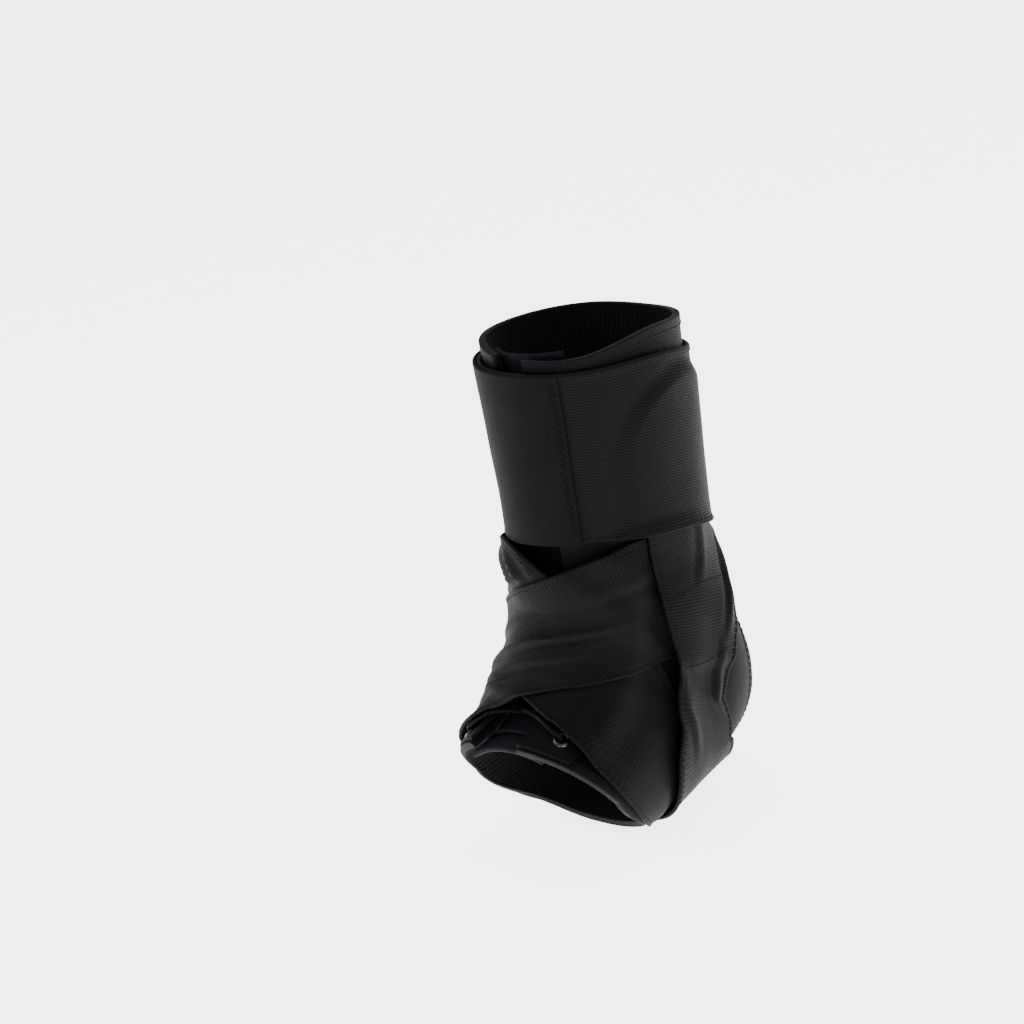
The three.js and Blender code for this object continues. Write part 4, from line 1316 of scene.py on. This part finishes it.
def make_cuff_tab():
    angles = TAB_FROM + graded(TAB_TO - TAB_FROM, 1.3)
    station, angle, from_top, from_bottom = cuff_grid(angles, 1.2)
    places = skin(station, angle)
    around = travelled(places)
    edge = np.minimum(np.minimum(from_top, from_bottom), np.minimum(around, around[-1:] - around))
    low = cuff_low(places) + CUFF_WALL + TAB_PLAY
    low, high = walls(low, TAB_WALL, edge, hem(edge, ridge=0.05, groove=0.2))
    cloths["cuff_tab_patch"] = dict(station=station, angle=angle, high=high, across=from_top, rows=angles)
    return slab("cuff_tab_patch", station, angle, low, high, around, from_top)


cuff_band, cuff_tab = make_cuff_band(), make_cuff_tab()
for piece, node, finish in ((cuff_band, "cuff_band", "cuff_elastic"), (cuff_tab, "cuff_tab", "cuff_patch")):
    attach(piece, BODY)
    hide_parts(node)
    ring = cloths[piece.name]
    middle = ring["across"].shape[1] // 2
    length = travelled(skin(ring["station"][:, middle], ring["angle"][:, middle]))[-1]
    length * MM
    print(piece.name, len(piece.data.polygons), "faces,", round(length), "mm long")

# %% [markdown]
# ## Binding tapes
# The raw edges of a padded cloth are always bound. A tape folded over the edge is a tube with a
# rounded, flat section, swept along the rims and round the heel opening. A curve with a bevel could do
# that, but its section wouldn't follow the cloth, so the tube's points are placed on the skin itself.

# %% Binding tapes
TAPE_WIDTH, TAPE_OUT, TAPE_PAST_EDGE = 4.2, 0.35, 0.5
TAPE_CORNER, CORNER_STEPS = 0.5, 5
NEAR_TAPE_END = np.array([0, 0.0008, 0.002, 0.0045, 0.008])
RIM_TAPE_ROWS, HEEL_TAPE_ROWS = 236, 200
RIM_ROWS = {"top": (0, 1), "toe": (TOE_MIDDLE, -1)}
NEWTON_STEPS, NEWTON_SHARE = 30, 0.7


def tape_section():
    """A rounded, flat section as lengths into the boot and heights off the skin."""
    low, high = SHELL_LOW - TAPE_OUT, SHELL_HIGH + TAPE_OUT
    corners = [(-TAPE_PAST_EDGE, low), (TAPE_WIDTH, low), (TAPE_WIDTH, high), (-TAPE_PAST_EDGE, high)]
    section = []
    for k, (length, height) in enumerate(corners):
        into = (1 if length < 0 else -1, 1 if height == low else -1)
        turn = np.pi + k * np.pi / 2 + np.linspace(0, np.pi / 2, CORNER_STEPS)
        middle = np.array([length + into[0] * TAPE_CORNER, height + into[1] * TAPE_CORNER])
        section += (middle + TAPE_CORNER * np.stack([np.cos(turn), np.sin(turn)], -1)).tolist()
        following = corners[(k + 1) % 4]
        if abs(following[0] - length) > 1:
            for share in (0.2, 0.4, 0.6, 0.8):
                section.append([length + (following[0] - length) * share, height])
    return np.array(section)


def inside_rim(which, share, inset):
    """Stations and angles at shares of the way along a rim, a length inside the boot."""
    row, direction = RIM_ROWS[which]
    angle = round_the_boot(row, share)
    station = rim(which, angle)
    per_station = np.linalg.norm(slopes(station, angle)[0], axis=-1)
    return np.broadcast_arrays(station + direction * inset / per_station, angle)


def rim_tape(name, which):
    """Tape along the top or toe rim. Its two ends are closed by a section that shrinks."""
    section = tape_section()
    share = with_edges(NEAR_TAPE_END, RIM_TAPE_ROWS, 1)
    along = travelled(skin(*inside_rim(which, share, 0.0)))
    thick, middle = np.ptp(section[:, 1]), section[:, 1].mean()
    closing = roundness(np.minimum(along, along[-1] - along), thick)[:, None]
    heights = middle + (section[:, 1] - middle) * closing
    rings = lifted(*inside_rim(which, share[:, None], section[:, 0]), heights)
    uv = np.stack(np.broadcast_arrays(along[:, None], section[:, 0] + section[:, 1]), -1)
    return rings_to_piece(name, rings, uv)


print("the tape's section has", len(tape_section()), "points")

# %% [markdown]
# ## The tape round the heel opening
# The bar cuts the skin along a line that isn't a row of any grid. So each point of the tape is found by
# Newton's method: from a guess, the station and angle move until the skin's point lies on the wanted
# place of the bar's outline.

# %% Heel tape
def heel_outline(turn, inset):
    """Places across and up on the heel opening's outline, a length inside the boot's cloth."""
    return np.cos(turn) * (HEEL_WIDTH / 2 + inset), np.sin(turn) * (HEEL_HEIGHT / 2 + inset)


def behind_heel(across, height):
    """Station and angle of the skin where a line along the heel bar's axis meets it."""
    middle, up = heel_axes()
    station = np.full(across.shape, 5.0) - height / 22
    angle = 180 - across * 1.6
    for _ in range(NEWTON_STEPS):
        off = skin(station, angle) - middle
        wrong = np.stack([off[..., 0] - across, off @ up - height], -1)
        down, around = slopes(station, angle)
        a, b = down[..., 0], around[..., 0]
        c, d = down @ up, around @ up
        det = a * d - b * c
        station = station - NEWTON_SHARE * (d * wrong[..., 0] - b * wrong[..., 1]) / det
        angle = angle - NEWTON_SHARE * (a * wrong[..., 1] - c * wrong[..., 0]) / det
    return station, angle


def heel_tape(name):
    section = tape_section()
    turn = np.linspace(0, 2 * np.pi, HEEL_TAPE_ROWS, endpoint=False)[:, None]
    station, angle = behind_heel(*heel_outline(turn, section[:, 0]))
    rings = lifted(station, angle, np.broadcast_to(section[:, 1], station.shape))
    uv = np.stack(np.broadcast_arrays(turn * HEEL_WIDTH / 2, section[:, 0] + section[:, 1]), -1)
    return rings_to_piece(name, rings, uv, around=True)


tapes = [rim_tape("tape_top", "top"), rim_tape("tape_toe", "toe"), heel_tape("tape_heel")]
for tape in tapes:
    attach(tape, BODY)
    print(tape.name, len(tape.data.polygons), "faces")

# %% [markdown]
# ## The knitted lining
# The boot's inside is a thin knit. It is a second skin on the same grid as the boot, and the same
# slanted bar opens its heel, so the two always fit. Its ribs come from the material.

# %% Lining
LINING_WALL, LINING_IN, LINING_ROW_LENGTH = 0.7, 0.35, 14


def make_lining():
    station, angle, row, share = boot_grid()
    places = skin(station, angle)
    low = np.full(row.shape, SHELL_LOW - LINING_IN)
    from_lacing = np.minimum(share, 1 - share) / NEAR_LACING[2]
    inside = np.minimum(from_lacing, np.minimum(row, TOE_MIDDLE - row) / NEAR_RIM[2])
    low, high = walls(low, LINING_WALL, np.clip(inside, 0, 1) * LINING_WALL)
    return slab("boot_lining", station, angle, low, high, travelled(places), row * LINING_ROW_LENGTH)


boot_lining = cut_heel(make_lining())
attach(boot_lining, BODY)
print("lining", len(boot_lining.data.polygons), "faces")

# %% [markdown]
# ## Seams
# A seam could be painted, but thread stands proud of the cloth and catches the light. So each seam is
# first drawn as a line on its cloth: every cloth has kept the stations, angles and heights of its upper
# face, and a line only has to look them up, at a distance across or between two rows.

# %% Seam lines
THREAD_RAISE = 0.08
TAPE_SEAM_INSET = TAPE_WIDTH - 1.0


def cloth_point(cloth, row, across):
    """Station, angle and height on a cloth's upper face, at a length across one of its rows."""
    return [np.interp(across, cloth["across"][row], cloth[key][row]) for key in ("station", "angle", "high")]


def on_cloth(line):
    station, angle, high = np.array(line).T
    return lifted(station, angle, high + THREAD_RAISE)


def along_seam(name, across, first=None, last=None):
    """A line down a cloth's rows, at a place across it. Rows are kept from first to last."""
    cloth = cloths[name]
    rows = cloth["rows"]
    kept = np.ones(len(rows), bool) if first is None else (rows >= first) & (rows <= last)
    place = across if callable(across) else lambda k: across
    return on_cloth([cloth_point(cloth, k, place(k)) for k in np.flatnonzero(kept)])


def across_seam(name, from_row, to_row, from_across, to_across, bend=0.0, count=60):
    """A line over a cloth from one row and place across it to another, bowed by bend rows."""
    cloth = cloths[name]
    rows = cloth["rows"]
    order = np.argsort(rows)
    share = np.linspace(0, 1, count)
    row = from_row + (to_row - from_row) * share + bend * np.sin(np.pi * share)
    at = np.interp(row, rows[order], order.astype(float))
    across = from_across + (to_across - from_across) * share
    line = []
    for place, side in zip(at, across):
        k = int(min(place, len(rows) - 2))
        part = place - k
        above, below = (np.array(cloth_point(cloth, j, side)) for j in (k, k + 1))
        line.append(above * (1 - part) + below * part)
    return on_cloth(line)


print("lines can be looked up on", ", ".join(cloths))

# %% [markdown]
# ## Which seams there are
# Straps are hemmed along both edges and sewn on with two seams across their rear end. Facings are sewn
# all the way round, and tapes along their inner edge. Two slanted seams cross the outer strap's last
# run, as in the photograph, and one quilts the tongue.

# %% All seams
def strap_seams(name, route):
    last = WRAP_ROWS - 0.1
    lines = [along_seam(name, lambda k, s=s: s * (route.half[k] - HEM_WIDTH), 0.1, last) for s in (-1, 1)]
    for row in (0.25, 1.1):
        lines.append(across_seam(name, row, row, -19, 19))
    return lines


def facing_seams(name):
    near, far = HEM_WIDTH, FACING_WIDTH - HEM_WIDTH
    first, last = HEM_WIDTH, cloths[name]["rows"][-1] - HEM_WIDTH
    lines = [along_seam(name, across, first, last) for across in (near, far)]
    return lines + [across_seam(name, row, row, near, far) for row in (first, last)]


def tape_seams():
    share, turn = np.linspace(0.004, 0.996, 220), np.linspace(0, 2 * np.pi, 160)
    spots = [inside_rim(which, share, TAPE_SEAM_INSET) for which in RIM_ROWS]
    spots.append(behind_heel(*heel_outline(turn, TAPE_SEAM_INSET)))
    high = SHELL_HIGH + TAPE_OUT + THREAD_RAISE
    return [lifted(station, angle, np.full(station.shape, high)) for station, angle in spots]


def lines_to_piece(name, lines):
    """A mesh of edges alone, one chain for each line."""
    points = np.concatenate(lines)
    edges, start = [], 0
    for line in lines:
        edges += [(start + k, start + k + 1) for k in range(len(line) - 1)]
        start += len(line)
    mesh = bpy.data.meshes.new(name)
    mesh.from_pydata((points * MM).tolist(), edges, [])
    return add_object(name, mesh)


seam_lines = strap_seams("strap_outer_webbing", routes[OUTER])
seam_lines += strap_seams("strap_inner_webbing", routes[INNER])
for side in (OUTER, INNER):
    seam_lines += facing_seams("facing_" + SIDE_NAMES[side] + "_cloth")
seam_lines += tape_seams()
seam_lines += [
    along_seam("cuff_band_elastic", CUFF_HEM - 0.9),
    along_seam("cuff_band_elastic", lambda k: cloths["cuff_band_elastic"]["across"][k, -1] - HEM_WIDTH),
    across_seam("strap_outer_webbing", 15.95, 16.3, 22.5, -12, bend=0.12),
    across_seam("strap_outer_webbing", 14.55, 15.05, 11, -9),
    across_seam("tongue_pad", QUILTING_FROM_TOE, QUILTING_FROM_TOE, -20, 20),
]
print(len(seam_lines), "seams")

# %% [markdown]
# ## Stitches and the zigzag thread
# Thread shows as a row of short stitches, one like the other. A tree turns all lines into stitches: it
# resamples them at the stitch pitch and puts one small grain on each point, along the line. The zigzag
# seam at the cuff's front is one unbroken thread instead, so a second tree gives its line a round
# section.

# %% Stitches and the zigzag thread
STITCH_PITCH, STITCH_LENGTH, STITCH_THICKNESS, THREAD_SIDES = 2.9, 2.2, 0.42, 6
ZIGZAG_PITCH, ZIGZAG_WIDTH, ZIGZAG_INSET, ZIGZAG_RADIUS, ZIGZAG_END = 1.5, 2.5, 0.9, 0.22, 2


def stitch_tree():
    """Puts one stitch on every point of the resampled lines, along the line."""
    tree = Tree("stitches_on_lines")
    lines = tree.node("GeometryNodeMeshToCurve", Mesh=tree.entry.outputs[0])
    even = tree.node("GeometryNodeResampleCurve", {"mode": "LENGTH"},
                     Curve=lines.outputs[0], Length=tree.input("Pitch", "Float"))
    tangent = tree.node("GeometryNodeInputTangent")
    turned = tree.node("FunctionNodeAlignRotationToVector", {"axis": "X"}, Vector=tangent.outputs[0])
    part = tree.node("GeometryNodeObjectInfo", Object=tree.input("Part", "Object"))
    placed = tree.node("GeometryNodeInstanceOnPoints", Points=even.outputs[0],
                       Instance=part.outputs["Geometry"], Rotation=turned.outputs[0])
    return tree.finish(placed.outputs[0])


def thread_tree():
    """Gives lines a round section."""
    tree = Tree("thread_on_lines")
    lines = tree.node("GeometryNodeMeshToCurve", Mesh=tree.entry.outputs[0])
    ring = tree.node("GeometryNodeCurvePrimitiveCircle",
                     Radius=tree.input("Radius", "Float"), Resolution=THREAD_SIDES)
    made = tree.node("GeometryNodeCurveToMesh", Curve=lines.outputs[0], Profile_Curve=ring.outputs[0])
    return tree.finish(made.outputs[0])


def grain():
    """A stitch: a small rounded grain along X."""
    length, half = STITCH_LENGTH / 2, STITCH_THICKNESS / 2
    profile = [(0.02, -length), (half * 0.7, -length * 0.8), (half, -length * 0.3), (half, length * 0.3),
               (half * 0.7, length * 0.8), (0.02, length)]
    points, faces = lathe(profile, THREAD_SIDES)
    return points[:, [2, 0, 1]], faces


def zigzag_line():
    """Points to and fro beside the tab's front edge, from its upper hem to its lower one."""
    cloth = cloths["cuff_tab_patch"]
    count = int((cloth["across"][-1, -1] - 2 * ZIGZAG_END) / ZIGZAG_PITCH)
    edge_spot = cloth["station"][-1, MIDDLE_COLUMN], cloth["angle"][-1, MIDDLE_COLUMN]
    per_degree = np.linalg.norm(slopes(*edge_spot)[1])
    line = []
    for k in range(count + 1):
        row = cloth["rows"][-1] - (ZIGZAG_INSET + (k % 2) * ZIGZAG_WIDTH) / per_degree
        place = ZIGZAG_END + k * ZIGZAG_PITCH
        line.append(across_seam("cuff_tab_patch", row, row, place, place, count=1)[0])
    return np.array(line)


template = hidden_template("stitch_template", *grain())
stitches = lines_to_piece("stitches", seam_lines)
stitch_tree().run(stitches, Pitch=STITCH_PITCH * MM, Part=template, Material=plain_material("thread"))
bpy.data.objects.remove(template)
zigzag = lines_to_piece("zigzag_thread", [zigzag_line()])
thread_tree().run(zigzag, Radius=ZIGZAG_RADIUS * MM, Material=plain_material("thread"))
for piece, finish in ((stitches, "strap_webbing"), (zigzag, "cuff_patch")):
    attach(piece, BODY)
    print(piece.name, len(piece.data.polygons), "faces")

# %% [markdown]
# ## Shaders as sums
# A weave is only a few waves added and multiplied. Written as node calls that would be unreadable, so a
# small class wraps a socket and lets it be used in plain sums. Every cloth then reads like a formula.

# %% A wrapper for shader sockets
class Value:
    """A number that varies over a surface, for use in plain sums."""

    def __init__(self, shader, socket):
        self.shader, self.socket = shader, socket

    def _math(self, operation, *others, swap=False):
        values = [self, *others]
        if swap:
            values.reverse()
        made = self.shader.node("ShaderNodeMath", {"operation": operation}, dict(enumerate(values)))
        return Value(self.shader, made.outputs[0])

    def __add__(self, other):
        return self._math("ADD", other)

    __radd__ = __add__

    def __sub__(self, other):
        return self._math("SUBTRACT", other)

    def __rsub__(self, other):
        return self._math("SUBTRACT", other, swap=True)

    def __mul__(self, other):
        return self._math("MULTIPLY", other)

    __rmul__ = __mul__

    def sine(self):
        return self._math("SINE")

    def above(self, low, high):
        """0 below low, 1 above high, and smooth between them."""
        made = self.shader.node("ShaderNodeMapRange", {"interpolation_type": "SMOOTHSTEP"},
                                {"Value": self, "From Min": low, "From Max": high})
        return Value(self.shader, made.outputs[0])


print("shader values add, subtract and multiply")

# %% [markdown]
# ## Materials that take such values
# `Shader` opens a material, reads the cloth's UV map, and offers what the formulas need: waves, noise,
# a mix of two colours, a bump and sheen. One method adds any node, first with its settings and then
# with the values or links of its sockets.

# %% A class for materials
SHEEN_ROUGHNESS, SHEEN_TINT = 0.4, (0.8, 0.85, 1.0, 1)


class Shader:
    """A material whose Principled inputs are set from values."""

    def __init__(self, name):
        self.material = plain_material(name)
        self.material.use_nodes = True
        self.tree = self.material.node_tree
        self.principled = self.tree.nodes["Principled BSDF"]
        cloth = self.node("ShaderNodeUVMap", {"uv_map": "cloth"})
        self.place = cloth.outputs[0]
        parts = self.node("ShaderNodeSeparateXYZ", sockets={0: self.place})
        self.u, self.v = Value(self, parts.outputs[0]), Value(self, parts.outputs[1])

    def node(self, kind, settings=None, sockets=None):
        made = self.tree.nodes.new(kind)
        for key, value in (settings or {}).items():
            setattr(made, key, value)
        for key, value in (sockets or {}).items():
            value = value.socket if isinstance(value, Value) else value
            if isinstance(value, bpy.types.NodeSocket):
                self.tree.links.new(value, made.inputs[key])
            else:
                made.inputs[key].default_value = value
        return made

    def wave(self, value, pitch, shift=0.0):
        """A wave from 0 to 1 with its crests a pitch apart."""
        return (value * (2 * math.pi / pitch) + shift).sine() * 0.5 + 0.5

    def noise(self, size, detail, place=None):
        """Noise from 0 to 1 whose spots are about a size across, with finer detail in them."""
        made = self.node("ShaderNodeTexNoise", sockets={
            "Vector": place or self.place, "Scale": 1 / size, "Detail": detail})
        return Value(self, made.outputs["Fac"])

    def mix(self, factor, first, second):
        made = self.node("ShaderNodeMix", {"data_type": "RGBA"}, {
            0: factor, 6: (*first, 1) if isinstance(first, tuple) else first,
            7: (*second, 1) if isinstance(second, tuple) else second})
        return made.outputs[2]

    def set(self, name, value):
        value = value.socket if isinstance(value, Value) else value
        if isinstance(value, bpy.types.NodeSocket):
            self.tree.links.new(value, self.principled.inputs[name])
        else:
            self.principled.inputs[name].default_value = value

    def bump(self, height, depth):
        made = self.node("ShaderNodeBump", sockets={
            "Strength": 1.0, "Distance": depth * MM, "Height": height})
        self.set("Normal", made.outputs[0])

    def sheen(self, weight):
        self.set("Sheen Weight", weight)
        self.set("Sheen Roughness", SHEEN_ROUGHNESS)
        self.set("Sheen Tint", SHEEN_TINT)


print("sheen is tinted", SHEEN_TINT[:3])


# %% [markdown]
# ## Cloth materials
# Each formula gives a height for the bump and a share for the colour. Crests catch more light than
# hollows, worn places are a little paler, and a few specks of lint lie on everything.

# %% Materials
CLOTH_SPECULAR = 0.07
WEAR_SIZE, WEAR_COLOUR, WEAR_ROUGHNESS = 14.0, 0.35, 0.12
LINT_SIZE, LINT_SHARE, LINT_COLOUR = 0.45, 0.25, (0.06, 0.065, 0.07)
FUZZ_SIZE, FUZZ_HEIGHT = 0.35, 0.3


def cloth_material(name, dark, light, height, depth, roughness, sheen):
    """height is a function of the shader that gives a value from 0 to 1."""
    shader = Shader(name)
    relief = height(shader)
    worn = shader.noise(WEAR_SIZE, 4.0)
    share = relief * 0.7 + (worn - 0.5) * WEAR_COLOUR + 0.1
    colour = shader.mix(share.above(0.0, 1.0), dark, light)
    lint = shader.noise(LINT_SIZE, 1.0).above(0.80, 0.84) * LINT_SHARE
    colour = shader.mix(lint, colour, LINT_COLOUR)
    shader.set("Base Color", colour)
    shader.set("Roughness", roughness + (worn - 0.5) * WEAR_ROUGHNESS)
    shader.set("Specular IOR Level", CLOTH_SPECULAR)
    shader.bump(relief + shader.noise(FUZZ_SIZE, 2.0) * FUZZ_HEIGHT, depth)
    shader.sheen(sheen)
    return shader.material


print("lint spots are about", LINT_SIZE, "mm across")

# %% [markdown]
# ## The weaves
# Each weave is a formula of the place on the cloth, in millimetres: u runs along it and v across it. The
# pitches are those of real cloth, about a millimetre a rib, so they stay right when a piece changes.

# %% Heights of the weaves
def webbing_height(shader):
    """Ribs across the strap, which two sets of slanted threads cut into small diamonds."""
    rib = shader.wave(shader.u + shader.wave(shader.v, 2.2) * 0.2, 1.15)
    twill = shader.wave(shader.u + shader.v * 0.5, 1.2) * shader.wave(shader.u - shader.v * 0.5, 1.2)
    return rib * 0.8 + twill * 0.4


def elastic_height(shader):
    """Rounded ribs round the leg, with the short floats of the yarn on them."""
    rib = shader.wave(shader.v, 1.1)
    yarn = shader.wave(shader.u, 0.9, 0.7)
    return rib * 0.75 + yarn * rib * 0.35


def plain_weave_height(shader):
    squares = shader.wave(shader.u, 0.75) * shader.wave(shader.v, 0.75)
    return squares + shader.wave(shader.u + shader.v, 1.1) * 0.2


def knit_height(shader):
    rib = shader.wave(shader.u, 2.0)
    return rib * 0.8 + shader.wave(shader.v, 0.9) * 0.3


def tape_height(shader):
    return shader.wave(shader.u, 0.8) * 0.9 + shader.wave(shader.v, 1.6) * 0.1


def brushed_height(shader):
    return shader.noise(0.5, 4.0) * 0.8 + shader.wave(shader.v, 0.8) * 0.15


def braid_height(shader):
    slant = shader.v * 0.8
    return shader.wave(shader.u + slant, 1.1) * 0.5 + shader.wave(shader.u - slant, 1.1) * 0.5


print("one wave of the webbing's ribs is 1.15 mm")

# %% [markdown]
# ## One row for each cloth
# All cloths are black, and the photograph tells them apart by how deep their weave is and how it shines.
# The straps and the cuff have the plainest ribs, the tongue is a little blue, and the knit inside is the
# softest. The lower strap is seen in shade, so it wears a shaded copy of the webbing. Its colours lie
# closer together, which is painted shade, and its weave is shallower.

# %% The cloths
CLOTH_COLUMNS = ("name", "dark", "light", "height", "depth", "roughness", "sheen")
CLOTHS = [
    ("webbing", (0.0004, 0.0004, 0.0005), (0.0025, 0.0026, 0.0029), webbing_height, 0.13, 0.64, 0.008),
    # a copy of the webbing for the inner strap in shade: its closer colours are painted shade
    ("plain_webbing", (0.0006, 0.0006, 0.0007), (0.0023, 0.0024, 0.0027), webbing_height, 0.06, 0.66, 0.008),
    ("elastic", (0.0008, 0.0010, 0.0012), (0.0024, 0.0029, 0.0033), elastic_height, 0.12, 0.68, 0.008),
    ("patch", (0.0004, 0.0004, 0.0005), (0.0013, 0.0013, 0.0015), brushed_height, 0.08, 0.74, 0.006),
    ("boot_cloth", (0.0004, 0.0004, 0.0005), (0.0022, 0.0023, 0.0027), plain_weave_height, 0.10, 0.68, 0.008),
    ("tongue_cloth", (0.0007, 0.0009, 0.0018), (0.0038, 0.0046, 0.008), plain_weave_height, 0.12, 0.72, 0.02),
    ("knit", (0.0005, 0.0006, 0.0008), (0.0032, 0.0036, 0.0048), knit_height, 0.30, 0.76, 0.02),
    ("tape", (0.0003, 0.0004, 0.0005), (0.0024, 0.0026, 0.0030), tape_height, 0.16, 0.66, 0.008),
    ("cord", (0.0003, 0.0003, 0.0004), (0.0028, 0.0028, 0.0032), braid_height, 0.30, 0.62, 0.008),
]
made_cloths = {row[0]: cloth_material(**dict(zip(CLOTH_COLUMNS, row))) for row in CLOTHS}


print("cloths:", ", ".join(made_cloths))

# %% [markdown]
# ## Thread, metal, and who wears what
# Thread is plain black. The eyelets are black-coated metal that is worn bright in spots, which noise on
# Object coordinates lays on, because they have no cloth UV map. Then every piece gets its material.

# %% Thread and metal
def thread_material():
    shader = Shader("thread")
    shader.set("Base Color", (0.0036, 0.0038, 0.0044, 1))
    shader.set("Roughness", 0.75)
    shader.set("Specular IOR Level", CLOTH_SPECULAR)


def metal_material():
    """Black-coated metal: the coat is worn through to bright metal in spots."""
    shader = Shader("eyelet_metal")
    coordinates = shader.node("ShaderNodeTexCoord").outputs["Object"]
    worn = shader.noise(0.0016, 3.0, coordinates).above(0.52, 0.66)
    shader.set("Base Color", shader.mix(worn, (0.035, 0.036, 0.038), (0.30, 0.31, 0.32)))
    shader.set("Metallic", 1.0)
    shader.set("Roughness", 0.34 - worn * 0.08)
    shader.bump(shader.noise(0.0006, 2.0, coordinates), 0.03)


thread_material()
metal_material()
for piece, finish in (
    # the inner strap wears the webbing's copy with painted shade in its colours
    (strap_inner, "plain_webbing"),
    (strap_outer, "webbing"),
    (boot_body, "boot_cloth"),
    (boot_lining, "knit"),
    (tongue_pad, "tongue_cloth"),
    (facings[OUTER], "boot_cloth"),
    (facings[INNER], "boot_cloth"),
    (lace_cord, "cord"),
    (cuff_band, "elastic"),
    (cuff_tab, "patch"),
    *((tape, "tape") for tape in tapes),
):
    piece.data.materials.clear()
    piece.data.materials.append(made_cloths[finish])
print(len(made_cloths) + 2, "materials")

# %% [markdown]
# ## Floor and light
# A black object shows its form only by its highlights, so the light matters more here than colour. The
# world is almost white, one large soft lamp stands high on the left, a smaller one grazes the outer
# side to draw the ribs and folds, and a third lights the instep from above. The floor is a pale disc a
# little under the lowest point. It glows, so that it comes out nearly as white as a paper background.

# %% Stage
FLOOR_RADIUS, FLOOR_GAP, FLOOR_GLOW = 12.0, 0.0005, 3.8
FLOOR_SIDES, FLOOR_GREY, FLOOR_ROUGHNESS, WORLD_LIGHT = 96, 0.92, 0.95, 0.9
LAMP_AIM = Vector((0, -0.02, 0.05))
LAMPS = [
    ("key", (-0.55, -0.75, 0.85), 0.55, 6.0),
    ("side", (0.95, -0.35, 0.45), 0.35, 1.8),
    ("top", (0.10, 0.25, 1.10), 0.60, 5.0),
]


def make_stage():
    low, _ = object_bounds()
    turn = np.linspace(0, 2 * np.pi, FLOOR_SIDES, endpoint=False)
    height = low.z / MM - FLOOR_GAP / MM
    ring = np.stack([np.cos(turn), np.sin(turn), np.zeros_like(turn)], -1) * FLOOR_RADIUS / MM
    floor = new_piece("floor", ring + np.array([0, 0, height]), [list(range(len(turn)))])
    pale = bpy.data.materials.new("floor_pale")
    pale.use_nodes = True
    finish = pale.node_tree.nodes["Principled BSDF"].inputs
    finish["Base Color"].default_value = (FLOOR_GREY, FLOOR_GREY, FLOOR_GREY, 1)
    finish["Roughness"].default_value = FLOOR_ROUGHNESS
    finish["Emission Color"].default_value = (1, 1, 1, 1)
    finish["Emission Strength"].default_value = FLOOR_GLOW
    floor.data.materials.append(pale)
    for name, place, size, power in LAMPS:
        data = bpy.data.lights.new("lamp_" + name, "AREA")
        data.shape = "DISK"
        data.size = size
        data.energy = power
        lamp = add_object("lamp_" + name, data)
        lamp.location = place
        lamp.rotation_euler = (LAMP_AIM - Vector(place)).to_track_quat("-Z", "Y").to_euler()
    world = bpy.data.worlds.new("studio")
    bpy.context.scene.world = world
    world.use_nodes = True
    world.node_tree.nodes["Background"].inputs["Color"].default_value = (1, 1, 1, 1)
    world.node_tree.nodes["Background"].inputs["Strength"].default_value = WORLD_LIGHT
    print("stage with", len(LAMPS), "lamps, floor at", round(height, 1), "mm")


make_stage()
